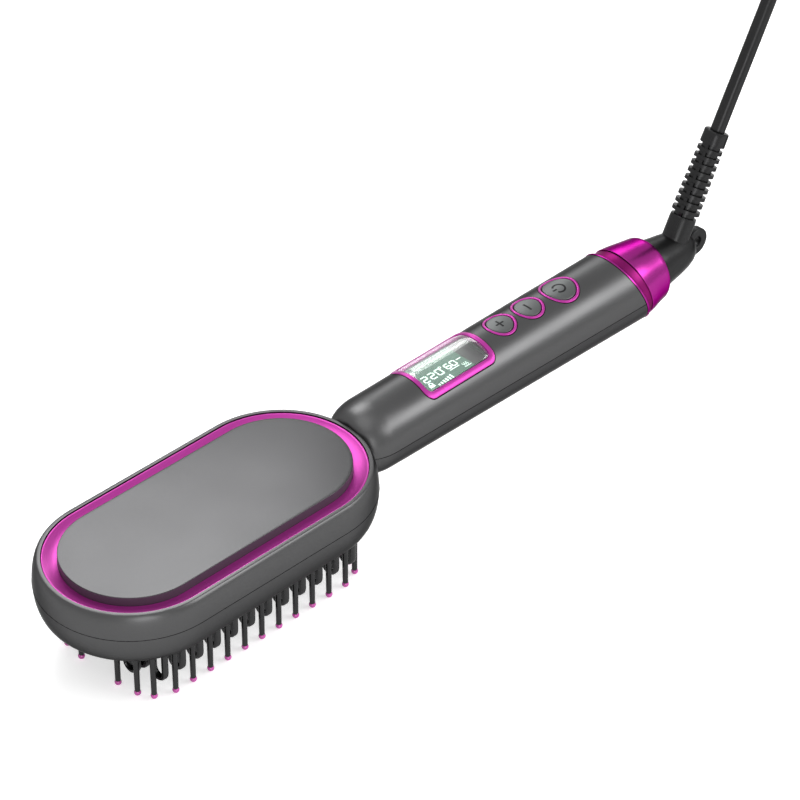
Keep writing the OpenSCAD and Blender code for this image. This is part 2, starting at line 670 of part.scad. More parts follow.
module swivel_body() color(black) place() difference() {
    union() {
        on_axis() polygon([[0, collar_x + 2.4], [journal_r - 0.1, collar_x + 2.4],
            [journal_r - 0.1, clip_x - 0.05], [journal_r - 1, clip_x - 0.05],
            [journal_r - 1, clip_x + 0.85], [journal_r, clip_x + 0.85],
            [journal_r, handle_end + 0.3], [swivel_r, handle_end + 0.3],
            [swivel_r - 0.9, handle_end + 6.5], [swivel_r - 1.9, handle_end + 13],
            [swivel_r - 2.7, handle_end + 17.4], [swivel_r - 3.7, handle_end + 20.2],
            [swivel_r - 5.5, dome_end - 0.9], [swivel_r - 7.6, dome_end - 0.15],
            [0, dome_end]]);
        translate([eyelet_x, eyelet_t / 2, eyelet_z]) rotate([90, 0, 0])
            cylinder(h = eyelet_t, r = eyelet_r);
        translate([handle_end + 15, -eyelet_t / 2, eyelet_z - eyelet_r])
            cube([eyelet_x - handle_end - 15, eyelet_t, 2 * eyelet_r]);
    }
    translate([eyelet_x, 20, eyelet_z]) rotate([90, 0, 0]) cylinder(h = 40, r = eyelet_hole_r);
    relief_at(-2.5) cylinder(h = 20, r = relief_base_r);
    on_axis() translate([0, collar_x]) square([lead_d / 2 + 0.6, relief_x - collar_x - 3]);
    relief_at(-7) cylinder(h = 20, r = lead_d / 2 + 0.3);
}

module swivel_clip() color(steel) place() on_axis() polygon([[journal_r - 0.98, clip_x],
    [journal_r + 1.2, clip_x], [journal_r + 1.2, clip_x + 0.8], [journal_r - 0.98, clip_x + 0.8]]);

module slip_rings() color(brass) place() for (r = [5.5, 2.5])
    on_axis() translate([r - 0.9, collar_x - 0.3]) square([1.8, 2.7]);

module strain_relief() color(black) place() difference() {
    union() {
        relief_at(-2.5) cylinder(h = 12.2, r = relief_base_r);
        relief_at(9) cylinder(h = relief_len - 10, r1 = 3.9, r2 = 3.5);
        relief_at(relief_len - 3.4) cylinder(h = 3.4, r = relief_top_r);
        for (i = [0:relief_ribs - 1]) relief_at(11.2 + i * (relief_len - 13.4) / relief_ribs)
            cylinder(h = 1.4, r = relief_base_r + 0.35 - 0.6 * i / relief_ribs);
        intersection() {
            relief_at(9) rotate([0, 0, 14]) translate([-6, -0.8, 0]) cube([12, 1.6, relief_len - 10]);
            relief_at(9) cylinder(h = relief_len - 10, r1 = 4.7, r2 = 4.2);
        }
    }
    relief_at(-4) cylinder(h = relief_len + 10, r = lead_d / 2);
}

module cable_core() color([0.1, 0.1, 0.11]) place() relief_at(-6)
    cylinder(h = relief_len + 6, r = lead_d / 2);

module cord_lead() color(black) place() tube(lead_pts, lead_d / 2, 10, [0, 1, 0.02],
    [a_cos, 0, a_sin], [0, -1, 0]);

module cord_coil() color(black) place() tube(coil_pts, lead_d / 2, 6, [0, 0, 1], [0, -1, 0],
    [0, 1, 0]);

module cord_tie() color([0.2, 0.2, 0.2]) place() translate([coil_c[0], coil_c[1], 0])
    rotate([0, 0, tie_at]) translate([coil_in_r + 1.65 * coil_pitch, 0, (coil_top + 2.45 * tie_t) / 2])
        rotate([90, 0, 0]) linear_extrude(7, center = true) difference() {
            rounded(24.2 + 2 * tie_t, coil_top + 2.45 * tie_t, 3 + tie_t);
            rounded(24.2, coil_top + 0.45 * tie_t, 3);
        }

module plug_body() color(black) place() translate(plug_at) {
    rotate([-90, 0, 0]) cylinder(h = 12.5, r1 = 3.6, r2 = 5.6);
    translate([0, 12, -plug_half_t]) linear_extrude(2 * plug_half_t) polygon([[-7, 0], [7, 0],
        [12.4, 7], [17.6, 20], [17.6, 24], [-17.6, 24], [-17.6, 20], [-12.4, 7]]);
}

module plug_pins() color(steel) place() for (s = [-1, 1]) translate(plug_at + [s * 9.3, 36, 0])
    rotate([-90, 0, 0]) {
        cylinder(h = 17.5, r = 2);
        translate([0, 0, 17.4]) cylinder(h = 1.6, r1 = 2, r2 = 1.2);
    }

upper_shell();
lower_shell();
accent_ring();
back_plate();
comb_plate();
guide_pins();
pin_tips();
heating_plate();
plate_screws();
ptc_heaters();
mica_sheet();
heater_clamp();
clamp_screws();
thermistor();
thermal_fuse();
heater_wires();
sensor_wires();
shell_screws();
display_frame();
display_lens();
display_screen();
lcd_module();
lcd_holder();
control_board();
control_chip();
tact_switches();
button_rings();
plus_button();
minus_button();
power_button();
power_board();
transformer();
mains_capacitor();
triac();
board_fuse();
mains_wires();
collar();
contact_carrier();
contact_pins();
swivel_body();
swivel_clip();
slip_rings();
strain_relief();
cable_core();
cord_lead();
cord_coil();
cord_tie();
plug_body();
plug_pins();
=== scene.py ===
"""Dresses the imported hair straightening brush: surfaces, finishes, lead and stage.

Lengths inside the shape functions are millimetres, with x counted from the
middle of the head, y across and z up from the pin tips. skin() turns them
into metres in the model's own frame.
"""

import bmesh
import bpy
import numpy as np
from bpy.props import FloatProperty, FloatVectorProperty, IntProperty, PointerProperty
from bpy.types import Operator, Panel, PropertyGroup
from mathutils import Matrix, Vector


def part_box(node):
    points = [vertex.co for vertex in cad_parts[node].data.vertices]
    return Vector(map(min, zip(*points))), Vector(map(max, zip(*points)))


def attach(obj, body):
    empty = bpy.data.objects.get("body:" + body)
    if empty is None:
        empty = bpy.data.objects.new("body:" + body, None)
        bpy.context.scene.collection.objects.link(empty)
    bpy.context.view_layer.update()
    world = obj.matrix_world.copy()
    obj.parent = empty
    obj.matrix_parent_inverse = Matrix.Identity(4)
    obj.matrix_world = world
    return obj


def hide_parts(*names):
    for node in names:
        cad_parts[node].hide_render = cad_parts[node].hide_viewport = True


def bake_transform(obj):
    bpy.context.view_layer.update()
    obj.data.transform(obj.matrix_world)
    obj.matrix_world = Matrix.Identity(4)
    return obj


bl_info = {
    "name": "Hair Straightening Brush",
    "version": (1, 0, 0),
    "blender": (4, 5, 0),
    "location": "View3D > Sidebar > Brush",
    "description": "Builds the visible surfaces of a heated hair straightening brush",
    "category": "Object",
}

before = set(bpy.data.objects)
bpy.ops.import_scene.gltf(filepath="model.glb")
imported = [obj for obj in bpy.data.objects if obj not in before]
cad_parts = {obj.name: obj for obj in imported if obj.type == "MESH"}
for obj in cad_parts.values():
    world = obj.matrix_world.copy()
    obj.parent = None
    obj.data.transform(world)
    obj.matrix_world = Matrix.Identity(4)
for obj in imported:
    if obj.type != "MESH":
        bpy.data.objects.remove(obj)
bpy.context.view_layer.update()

PI = np.pi


def box_mm(node):
    """Low and high corner of a CAD node's box, in millimetres."""
    return [np.array(c) * 1000 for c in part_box(node)]


PLATE_LOW, PLATE_HIGH = box_mm("back_plate")
MID_X = -(PLATE_LOW[0] + PLATE_HIGH[0]) / 2  # from the head's middle to the model's origin
HALF = (PLATE_HIGH[0] - PLATE_LOW[0]) / 2 - PLATE_HIGH[1]  # half the head's straight run
CLIP_LOW, CLIP_HIGH = box_mm("swivel_clip")
AXIS = (CLIP_LOW[2] + CLIP_HIGH[2]) / 2  # height of the handle's axis
RELIEF_TILT = np.radians(61.3)
RELIEF_BAR = np.radians(14)
SEAM = 30.6
COMB = 19.5  # underside of the comb plate
PLUS, MINUS, POWER = 134.2, 147.8, 163.3
DISPLAY = 107.0
COLLAR = 192.6
COLLAR_SLOPE = np.tan(np.radians(22.8))
LEAD_D = 5.3
HANDLE_END = 208.0  # where the collar ends and the swivel shows
HANDLE_R, HANDLE_SLOPE = 13.3, 1.1 / 119.55  # behind the nose, and its growth along x
SHELL_R = 32.5  # half width of the head at its widest
NOSE_BACK, NOSE_RUN = 73.05, 10.6  # end and length of the handle's rounded nose
NOSE_FLAT, NOSE_ROUND = 8.0, 5.3  # radius of the nose's flat front, and of its rounding


# ---------------------------------------------------------------- settings


def length(name, description, mm):
    """A length setting whose default is given in millimetres."""
    return FloatProperty(
        name=name, description=description, default=mm / 1000, min=0, unit="LENGTH", precision=5
    )


def colour(name, description, rgb):
    """A colour setting, linear red, green and blue."""
    return FloatVectorProperty(
        name=name, description=description, default=rgb, size=3, min=0, max=1, subtype="COLOR"
    )


def power(name, description, watts):
    """A lamp's power setting."""
    return FloatProperty(name=name, description=description, default=watts, min=0, unit="POWER")


class BrushSizes(PropertyGroup):
    """Sizes of the dressed surfaces."""

    plate_edge: length("Plate edge", "Rounding of the back plate's top edge", 0.2)
    ring_dish: length("Ring dish", "Depth of the accent ring's hollow", 1.4)
    pin_root: length("Pin root", "Radius of a guide pin's foot at the comb plate", 1.55)
    pin_stem: length("Pin stem", "Radius of a guide pin's stem", 0.95)
    pin_tip: length("Pin tip", "Radius of a guide pin's ball tip", 1.2)
    loop_width: length("Loop width", "Width of a guard loop across the head", 7.0)
    loop_leg: length("Loop leg", "Width of a guard loop's leg", 1.5)
    loop_depth: length("Loop thickness", "Thickness of a guard loop along the head", 2.2)
    ring_width: length("Button ring", "Width of a button's ring", 1.0)
    cap_dish: length("Cap dish", "Depth of the hollow in a button's cap", 0.3)
    bead: length("Bead height", "How far rings and the display frame stand proud", 0.27)
    lead: length("Lead", "Diameter of the mains lead", LEAD_D)
    tie: length("Tie", "Thickness of the band round the coiled lead", 0.6)


class BrushColours(PropertyGroup):
    """Colours of the finishes."""

    shell: colour("Shell", "Gun metal paint of the shells", (0.080, 0.080, 0.081))
    plate: colour("Plate", "Gun metal back plate", (0.052, 0.052, 0.053))
    accent: colour("Accent", "Pink lacquer of the ring, display frame and button rings", (0.40, 0.038, 0.28))
    collar: colour("Collar", "Pink metal of the collar", (0.30, 0.026, 0.205))
    # Painted shade: the recess colour is the collar's pink darkened for the shade in its hollow band.
    recess: colour("Recess", "Deeper pink of the collar's recessed band", (0.20, 0.010, 0.11))
    tips: colour("Tips", "Pink ball tips", (0.70, 0.05, 0.46))
    comb: colour("Comb", "Black moulding of comb plate and pins", (0.036, 0.036, 0.037))
    heater: colour("Heater", "Coated heating plate and fins", (0.05, 0.05, 0.053))
    keys: colour("Keys", "Button caps", (0.10, 0.104, 0.104))
    ink: colour("Symbols", "Dark symbols on the caps", (0.006, 0.006, 0.007))
    rubber: colour("Rubber", "Lead, strain relief and swivel", (0.026, 0.026, 0.0265))
    glow: colour("Display", "Lit green ground of the display", (0.018, 0.13, 0.07))
    digits: colour("Digits", "Lit digits and signs of the display", (0.80, 0.95, 0.88))


class StageSettings(PropertyGroup):
    """Floor and lamps."""

    floor: colour("Floor", "Colour of the floor", (0.90, 0.90, 0.90))
    key: power("Key lamp", "Power of the long front lamp", 5.0)
    fill: power("Top lamp", "Power of the lamp overhead", 3.0)
    back: power("Back lamp", "Power of the lamp behind the head", 0.65)
    low: power("Low lamp", "Power of the low lamp behind the handle", 0.75)
    front: power("Front lamp", "Power of the low lamp in front", 2.0)


class FinishCounts(PropertyGroup):
    """Fineness of the surfaces."""

    turns: IntProperty(name="Steps per turn", description="Facets round a turned piece", default=72, min=12)
    lead_sides: IntProperty(name="Lead sides", description="Facets round the mains lead", default=20, min=8)


def mm(name):
    """A size setting in millimetres."""
    return getattr(bpy.context.scene.brush_sizes, name) * 1000


def tint(name):
    """A colour setting as a tuple."""
    return tuple(getattr(bpy.context.scene.brush_colours, name))


# ---------------------------------------------------------------- surfaces


def unit(v):
    """v divided by its own length."""
    return v / np.linalg.norm(v, axis=-1, keepdims=True)


def skin(name, shells, sharp=35.0):
    """Joins shells into one mesh object whose normals point outwards.

    A shell is (grid, around, along, caps): grid holds points over two
    parameters u and v, around and along say whether u and v run back to
    their start, and caps closes the first and last row of v with one face.
    """
    verts, faces, base = [], [], 0
    for grid, around, along, caps in shells:
        n, m = grid.shape[:2]
        idx = np.arange(n * m).reshape(n, m) + base
        g = np.vstack([idx, idx[:1]]) if around else idx
        g = np.hstack([g, g[:, :1]]) if along else g
        quads = np.stack([g[:-1, :-1], g[1:, :-1], g[1:, 1:], g[:-1, 1:]], -1).reshape(-1, 4)
        faces += quads.tolist()
        if caps:
            faces += [idx[:, 0].tolist(), idx[::-1, -1].tolist()]
        verts.append(grid.reshape(-1, 3))
        base += n * m
    points = (np.concatenate(verts) - [MID_X, 0, 0]) / 1000
    mesh = bpy.data.meshes.new(name)
    mesh.from_pydata(points.tolist(), [], faces)
    bm = bmesh.new()
    bm.from_mesh(mesh)
    bmesh.ops.remove_doubles(bm, verts=bm.verts, dist=2e-6)
    bmesh.ops.dissolve_degenerate(bm, edges=bm.edges, dist=1e-7)
    bmesh.ops.recalc_face_normals(bm, faces=bm.faces)
    bm.to_mesh(mesh)
    bm.free()
    mesh.shade_smooth()
    mesh.set_sharp_from_angle(angle=np.radians(sharp))
    obj = bpy.data.objects.new(name, mesh)
    bpy.context.scene.collection.objects.link(obj)
    return obj


def merged(node):
    """A copy of a CAD node whose loose triangles share their corners, shaded
    smooth across the small steps of its arcs and sharp at its edges. On the
    handle's cone a corner's normal points straight off the cone's axis."""
    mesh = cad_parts[node].data
    points = np.empty(len(mesh.vertices) * 3, np.float32)
    mesh.vertices.foreach_get("co", points)
    corners = np.empty(len(mesh.loops), np.int32)
    mesh.loops.foreach_get("vertex_index", corners)
    shared, index = np.unique(points.reshape(-1, 3).round(6), axis=0, return_inverse=True)
    faces = index.ravel()[corners].reshape(-1, 3)
    faces = faces[(faces != np.roll(faces, 1, axis=1)).all(axis=1)]
    copy = bpy.data.meshes.new(node + "_merged")
    copy.from_pydata(shared.tolist(), [], faces.tolist())
    copy.shade_smooth()
    copy.set_sharp_from_angle(angle=np.radians(24))
    obj = bpy.data.objects.new(node + "_merged", copy)
    x, y, z = shared.T * 1000 + [[MID_X], [0], [-AXIS]]
    round_part = (x > 74) & (x < 192) & (np.abs(np.hypot(y, z) - handle_r(x)) < 0.1)
    normals = np.zeros((len(copy.loops), 3))
    flat = np.repeat([p.normal for p in copy.polygons], 3, axis=0)
    true = unit(np.stack([-HANDLE_SLOPE * np.hypot(y, z), y, z], -1))[faces.ravel()]
    keep = np.repeat(round_part[faces].all(axis=1), 3) & ((true * flat).sum(1) > 0.8)
    normals[keep] = true[keep]
    copy.normals_split_custom_set(normals)
    obj.vertex_groups.new(name="free_form").add(np.flatnonzero(~round_part).tolist(), 1.0, "REPLACE")
    bpy.context.scene.collection.objects.link(obj)
    weigh = obj.modifiers.new("even_normals", "WEIGHTED_NORMAL")
    weigh.keep_sharp = True
    weigh.vertex_group = "free_form"
    return obj


def closed(grid):
    """A shell that runs round in u and is capped at both ends of v."""
    return grid, True, False, True


def looped(grid):
    """A shell that runs round in both u and v, as a ring does."""
    return grid, True, True, False


def oval_rail(half, arc=40, side=20):
    """Centre and outward normal at each point round an oval: two half turns
    about the points half to either side, joined by runs that face across."""
    a = np.linspace(-PI / 2, PI / 2, arc + 1)
    run = np.linspace(half, -half, side + 2)[1:-1]
    centre = np.concatenate([np.full(arc + 1, half), run, np.full(arc + 1, -half), -run])
    angle = np.concatenate([a, np.full(side, PI / 2), a + PI, np.full(side, -PI / 2)])
    return centre, np.cos(angle), np.sin(angle)


def oval_sweep(profile):
    """Carries a profile of (half width, height) round the head's oval."""
    centre, across_x, across_y = oval_rail(HALF)
    r, z = np.asarray(profile, float).T
    x = centre[:, None] + across_x[:, None] * r
    y = across_y[:, None] * r
    return np.stack([x, y, np.broadcast_to(z, x.shape)], -1)


def lathe(profile, origin, axis, steps):
    """Turns a profile of (radius, distance along the axis) about an axis."""
    axis = unit(np.asarray(axis, float))
    side = unit(np.cross(axis, [0.31, 0.87, 0.19]))
    other = np.cross(axis, side)
    a = np.linspace(0, 2 * PI, steps, endpoint=False)
    spoke = np.cos(a)[:, None] * side + np.sin(a)[:, None] * other
    r, s = np.asarray(profile, float).T
    return np.asarray(origin) + spoke[:, None] * r[:, None] + s[:, None] * axis


def arc(cx, cy, r, start, end, n):
    """n + 1 points on a circle from start to end degrees."""
    a = np.radians(np.linspace(start, end, n + 1))
    return np.stack([cx + r * np.cos(a), cy + r * np.sin(a)], -1)


def tube(path, radius, sides):
    """Carries a circle along a path. Each ring's first spoke is the one
    before it with its part along the path taken away, so nothing twists."""
    way = unit(np.gradient(path, axis=0))
    spoke = np.zeros_like(path)
    s = np.array([0.0, 1.0, 0.0])
    for i, d in enumerate(way):
        s = s - d * s.dot(d)
        s /= np.linalg.norm(s)
        spoke[i] = s
    other = np.cross(way, spoke)
    a = np.linspace(0, 2 * PI, sides, endpoint=False)[:, None, None]
    r = np.broadcast_to(radius, len(path))[:, None]
    return path + r * (np.cos(a) * spoke + np.sin(a) * other)


def spline(points, per):
    """Points on the cubic that passes through the given points, per to each
    span, with the slope at a point taken from its two neighbours."""
    p = np.asarray(points, float)
    slope = np.gradient(p, axis=0)
    t = np.linspace(0, 1, per, endpoint=False)[None, :, None]
    a, b, u, v = p[:-1, None], p[1:, None], slope[:-1, None], slope[1:, None]
    q = (
        a * (2 * t**3 - 3 * t**2 + 1)
        + u * (t**3 - 2 * t**2 + t)
        + b * (3 * t**2 - 2 * t**3)
        + v * (t**3 - t**2)
    )
    return np.concatenate([q.reshape(-1, 3), p[-1:]])


def ease(u):
    """Smooth step from 0 to 1."""
    u = np.clip(u, 0, 1)
    return u * u * (3 - 2 * u)


def handle_r(x):
    """Radius of the handle at x behind its rounded nose."""
    return HANDLE_R + HANDLE_SLOPE * (x - NOSE_BACK)


def wrap(plan, height):
    """Lays plan points on the handle: x along it, y across, and height over
    its surface along the outward normal."""
    x, y = plan[..., 0], plan[..., 1]
    r = handle_r(x)
    turn = np.arcsin(np.clip(y / r, -1, 1))
    return np.stack([x, (r + height) * np.sin(turn), AXIS + (r + height) * np.cos(turn)], -1)


def rounded_loop(l, w, r, corner=8, side=12):
    """Points round a rectangle l by w with corners of radius r."""
    r = max(r, 0.02)
    a = np.linspace(0, PI / 2, corner + 1)
    centres = np.array([[1, 1], [-1, 1], [-1, -1], [1, -1]]) * [l / 2 - r, w / 2 - r]
    turns = a[None] + np.arange(4)[:, None] * PI / 2
    bends = centres[:, None] + r * np.stack([np.cos(turns), np.sin(turns)], -1)
    nxt = np.roll(bends, -1, axis=0)[:, 0]
    t = np.linspace(0, 1, side + 2)[1:-1, None]
    sides = bends[:, -1][:, None] * (1 - t) + nxt[:, None] * t
    return np.concatenate([bends, sides], 1).reshape(-1, 2)


def circle(r, n=64):
    """Points round a circle of radius r."""
    a = np.linspace(0, 2 * PI, n, endpoint=False)
    return np.stack([r * np.cos(a), r * np.sin(a)], -1)


def shadow_gap(loop_at):
    """A narrow ring of painted shade let into the handle just outside a bezel or
    button ring, dark as the shadow in the gap there. loop_at gives plan points at a distance inside the outer edge."""
    section = [(0.02, -0.3), (0.02, 0.03), (-0.2, 0.03), (-0.2, -0.3)]
    return looped(np.stack([wrap(loop_at(d), h) for d, h in section], 1))


def stroke(path, width, top, low, lay):
    """A raised line: width to either side of a plan path, from low to top.
    lay puts plan points with a height in place."""
    path = np.asarray(path, float)
    way = unit(np.gradient(path, axis=0))
    side = np.stack([-way[:, 1], way[:, 0]], -1) * width / 2
    corners = [(1, low), (1, top), (-1, top), (-1, low)]
    rows = [lay(path + s * side, np.full(len(path), h)) for s, h in corners]
    return closed(np.stack(rows, 0))


# ---------------------------------------------------------------- finishes


def finish(name, base, rough, metal=0.0, **more):
    """A Principled finish with a fine grain, a broad change of gloss and a
    slight change of colour, all read from Object coordinates.

    more may hold grain (size in metres, strength), streak (squeeze of the
    grain along x), gloss (spread of the roughness), vary (spread of the
    colour), edge (how much a metal keeps of its gloss at a glancing angle),
    and any of coat, coat_rough, coat_ior, ior, spec, sheen, glow, clear.
    """
    mat = bpy.data.materials.new(name)
    mat.use_nodes = True
    mat.diffuse_color = (*base, 1)
    tree = mat.node_tree
    node, link = tree.nodes.new, tree.links.new
    shader = tree.nodes["Principled BSDF"]
    shader.inputs["Metallic"].default_value = metal
    for socket, key in [
        ("Coat Weight", "coat"),
        ("Coat Roughness", "coat_rough"),
        ("Coat IOR", "coat_ior"),
        ("IOR", "ior"),
        ("Specular IOR Level", "spec"),
        ("Sheen Weight", "sheen"),
        ("Transmission Weight", "clear"),
    ]:
        if key in more:
            shader.inputs[socket].default_value = more[key]
    if "edge" in more:
        shader.inputs["Specular Tint"].default_value = (*[more["edge"]] * 3, 1)
    if "glow" in more:
        shader.inputs["Emission Color"].default_value = (*more.get("glow_colour", base), 1)
        shader.inputs["Emission Strength"].default_value = more["glow"]
    place = node("ShaderNodeTexCoord")
    squeeze = node("ShaderNodeMapping")
    squeeze.inputs["Scale"].default_value = more.get("streak", (1, 1, 1))
    link(place.outputs["Object"], squeeze.inputs["Vector"])

    def noise(size, detail):
        n = node("ShaderNodeTexNoise")
        n.inputs["Scale"].default_value = 1 / size
        n.inputs["Detail"].default_value = detail
        link(squeeze.outputs["Vector"], n.inputs["Vector"])
        return n.outputs["Fac"]

    def spread(source, low, high):
        m = node("ShaderNodeMapRange")
        m.inputs["From Min"].default_value = 0.3
        m.inputs["From Max"].default_value = 0.7
        m.inputs["To Min"].default_value = low
        m.inputs["To Max"].default_value = high
        link(source, m.inputs["Value"])
        return m.outputs["Result"]

    grain, strength = more.get("grain", (0.0004, 0.05))
    fine = noise(grain, 3)
    bump = node("ShaderNodeBump")
    bump.inputs["Strength"].default_value = strength
    bump.inputs["Distance"].default_value = grain
    link(fine, bump.inputs["Height"])
    link(bump.outputs["Normal"], shader.inputs["Normal"])
    gloss = more.get("gloss", 0.04)
    link(spread(noise(0.03, 1), rough - gloss, rough + gloss), shader.inputs["Roughness"])
    vary = more.get("vary", 0.05)
    hue = node("ShaderNodeHueSaturation")
    hue.inputs["Color"].default_value = (*base, 1)
    link(spread(fine, 1 - vary, 1 + vary), hue.inputs["Value"])
    link(hue.outputs["Color"], shader.inputs["Base Color"])
    return mat


FINISH = {}


def paint(obj, name):
    """Gives a piece, or every slot of a CAD node, one finish."""
    mat = FINISH[name]
    if obj.data.materials:
        for i in range(len(obj.data.materials)):
            obj.data.materials[i] = mat
    else:
        obj.data.materials.append(mat)
    return obj


def dress(obj, finish_name, body, slot, *nodes):
    """Finishes a piece, lets it ride on a body, and hides the CAD nodes that it
    stands for. slot is not used."""
    paint(obj, finish_name)
    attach(obj, body)
    if nodes:
        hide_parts(*nodes)
    return obj


def make_finishes():
    """The finishes of every piece, by a maker's name."""
    metal = {"grain": (0.00018, 0.05), "gloss": 0.03, "vary": 0.05}
    FINISH.update(
        gun_metal=finish("gun_metal_paint", tint("shell"), 0.34, 1.0, edge=0.35, **metal),
        plate=finish("gun_metal_plate", tint("plate"), 0.24, 1.0, edge=0.4, **metal),
        # Painted reflection: the plate's wall takes a duller purplish tint standing in for the pink ring reflected in
        # it.
        plate_wall=finish("plate_wall_paint", (0.11, 0.09, 0.11), 0.45, 0.4, spec=0.2, **metal),
        pink=finish("pink_lacquer", tint("accent"), 0.30, 0.45, edge=0.4, spec=0.3, **metal),
        pink_metal=finish(
            "pink_anodised", tint("collar"), 0.26, 1.0, edge=0.3, streak=(0.3, 1, 1), **metal
        ),
        # The recess finish: the collar's pink darkened, painted shade for the hollow band.
        pink_deep=finish("pink_recess", tint("recess"), 0.33, 0.9, edge=0.3, **metal),
        tips=finish(
            "pink_ball_tip", tint("tips"), 0.18, grain=(0.0003, 0.02), spec=0.7, coat=0.5, coat_rough=0.1
        ),
        comb=finish(
            "black_moulding", tint("comb"), 0.20, 0.7, edge=0.5, grain=(0.0005, 0.03), gloss=0.05, vary=0.1
        ),
        heater=finish("coated_heater", tint("heater"), 0.42, 0.5, grain=(0.00025, 0.08)),
        key=finish("button_cap", tint("keys"), 0.40, 0.9, edge=0.5, grain=(0.0002, 0.05), gloss=0.04),
        ink=finish("symbol_ink", tint("ink"), 0.5, grain=(0.0002, 0.05), spec=0.1),
        rubber=finish(
            "soft_black", tint("rubber"), 0.26, 0.8, edge=0.4, grain=(0.0004, 0.05), gloss=0.05, vary=0.12
        ),
        swivel=finish(
            "black_satin", tint("rubber"), 0.30, 0.8, edge=0.4, grain=(0.0003, 0.03), gloss=0.04, vary=0.1
        ),
        # Near-black painted shade that stands in for the shadow in narrow gaps and joints.
        gap=finish("shadow_gap", (0.003, 0.003, 0.003), 0.8, grain=(0.0003, 0.05), spec=0.0),
        lens=finish(
            "display_window", (0.96, 1.0, 0.98), 0.04, clear=1.0, ior=1.04,
            coat=1.0, coat_rough=0.1, coat_ior=1.7, grain=(0.004, 0.0), gloss=0.02, vary=0.01
        ),
        ground=finish(
            "display_ground", (0.02, 0.035, 0.03), 0.25,
            glow=0.9, glow_colour=tint("glow"), grain=(0.0003, 0.02)
        ),
        panel=finish("display_panel", (0.012, 0.016, 0.014), 0.2, grain=(0.0003, 0.02)),
        lit=finish(
            "display_lit", (0.5, 0.6, 0.55), 0.4, glow=0.9, glow_colour=tint("digits"), grain=(0.0003, 0.02)
        ),
        zinc=finish("zinc_screw", (0.55, 0.55, 0.56), 0.32, 0.95, grain=(0.0002, 0.08)),
        spring=finish(
            "spring_steel", (0.45, 0.45, 0.46), 0.35, 0.95, streak=(0.2, 1, 1), grain=(0.0002, 0.1)
        ),
        nickel=finish(
            "nickel_pin", (0.66, 0.65, 0.60), 0.22, 1.0, streak=(1, 0.2, 1), grain=(0.0002, 0.06)
        ),
        brass=finish("plated_brass", (0.72, 0.52, 0.22), 0.25, 1.0, grain=(0.0002, 0.06)),
        ceramic=finish("heater_film", (0.62, 0.56, 0.42), 0.5, grain=(0.0006, 0.1)),
        mica=finish("mica_sheet", (0.50, 0.38, 0.20), 0.35, grain=(0.0015, 0.15), vary=0.2),
        white=finish("white_moulding", (0.66, 0.66, 0.63), 0.45, grain=(0.0004, 0.06)),
        board=finish("board_mask", (0.012, 0.09, 0.035), 0.32, grain=(0.0008, 0.1), vary=0.15),
        black=finish("black_package", (0.02, 0.02, 0.02), 0.45, grain=(0.0003, 0.1)),
        tape=finish("yellow_tape", (0.70, 0.48, 0.05), 0.4, grain=(0.0008, 0.08)),
        can=finish("blue_sleeve", (0.03, 0.05, 0.22), 0.3, grain=(0.0006, 0.05)),
        pale_wire=finish("pale_sleeve", (0.62, 0.62, 0.55), 0.5, grain=(0.0004, 0.1)),
        red_wire=finish("red_insulation", (0.45, 0.02, 0.015), 0.4, grain=(0.0004, 0.06)),
        blue_wire=finish("blue_insulation", (0.02, 0.07, 0.42), 0.4, grain=(0.0004, 0.06)),
    )


# ---------------------------------------------------------------- camera


def photo_camera():
    """The camera solved from the photograph's outlines: its direction, its
    distance and its aim beside the middle of the head's flat top."""
    az, el = np.radians([-44.5535, 37.0721])
    back = np.array([np.sin(az) * np.cos(el), -np.cos(az) * np.cos(el), np.sin(el)])
    right = np.array([np.cos(az), np.sin(az), 0])
    up = np.cross(back, right)
    spot = back * 1255.61 + right * 61.849 + up * 33.765 + [-MID_X, 0, PLATE_HIGH[2]]
    cam = bpy.data.cameras.new("photo_camera")
    cam.sensor_fit = "HORIZONTAL"
    cam.sensor_width = 36
    cam.lens = 3915.66 / 800 * 36
    cam.clip_start, cam.clip_end = 0.05, 20
    obj = bpy.data.objects.new("photo_camera", cam)
    bpy.context.scene.collection.objects.link(obj)
    turn = Matrix([[right[i], up[i], back[i], spot[i] / 1000] for i in range(3)] + [[0, 0, 0, 1]])
    obj.matrix_world = turn
    bpy.context.scene.camera = obj


def softbox(name, direction, distance, size, power, aim):
    """A rectangular lamp that stands off in a direction and faces the aim."""
    lamp = bpy.data.lights.new(name, "AREA")
    lamp.shape = "RECTANGLE"
    lamp.size, lamp.size_y = size
    lamp.energy = power
    obj = bpy.data.objects.new(name, lamp)
    bpy.context.scene.collection.objects.link(obj)
    back = unit(np.asarray(direction, float))
    right = unit(np.cross([0, 0, 1.0], back))
    up = np.cross(back, right)
    spot = np.asarray(aim) + back * distance
    obj.matrix_world = Matrix([[right[i], up[i], back[i], spot[i]] for i in range(3)] + [[0, 0, 0, 1]])
    obj.visible_camera = False
    return obj


def by_ray(tree, plain, seen, socket):
    """Gives a socket one value for the camera's own rays and for those seen
    in metal or through glass, and another for the rest."""
    node, link = tree.nodes.new, tree.links.new
    ray = node("ShaderNodeLightPath").outputs
    level = node("ShaderNodeMapRange")
    level.inputs["To Min"].default_value = plain
    level.inputs["To Max"].default_value = seen
    mirrored, any_seen = node("ShaderNodeMath"), node("ShaderNodeMath")
    mirrored.operation = any_seen.operation = "MAXIMUM"
    link(ray["Is Camera Ray"], mirrored.inputs[0])
    link(ray["Is Glossy Ray"], mirrored.inputs[1])
    link(mirrored.outputs[0], any_seen.inputs[0])
    link(ray["Is Transmission Ray"], any_seen.inputs[1])
    link(any_seen.outputs[0], level.inputs["Value"])
    link(level.outputs["Result"], socket)


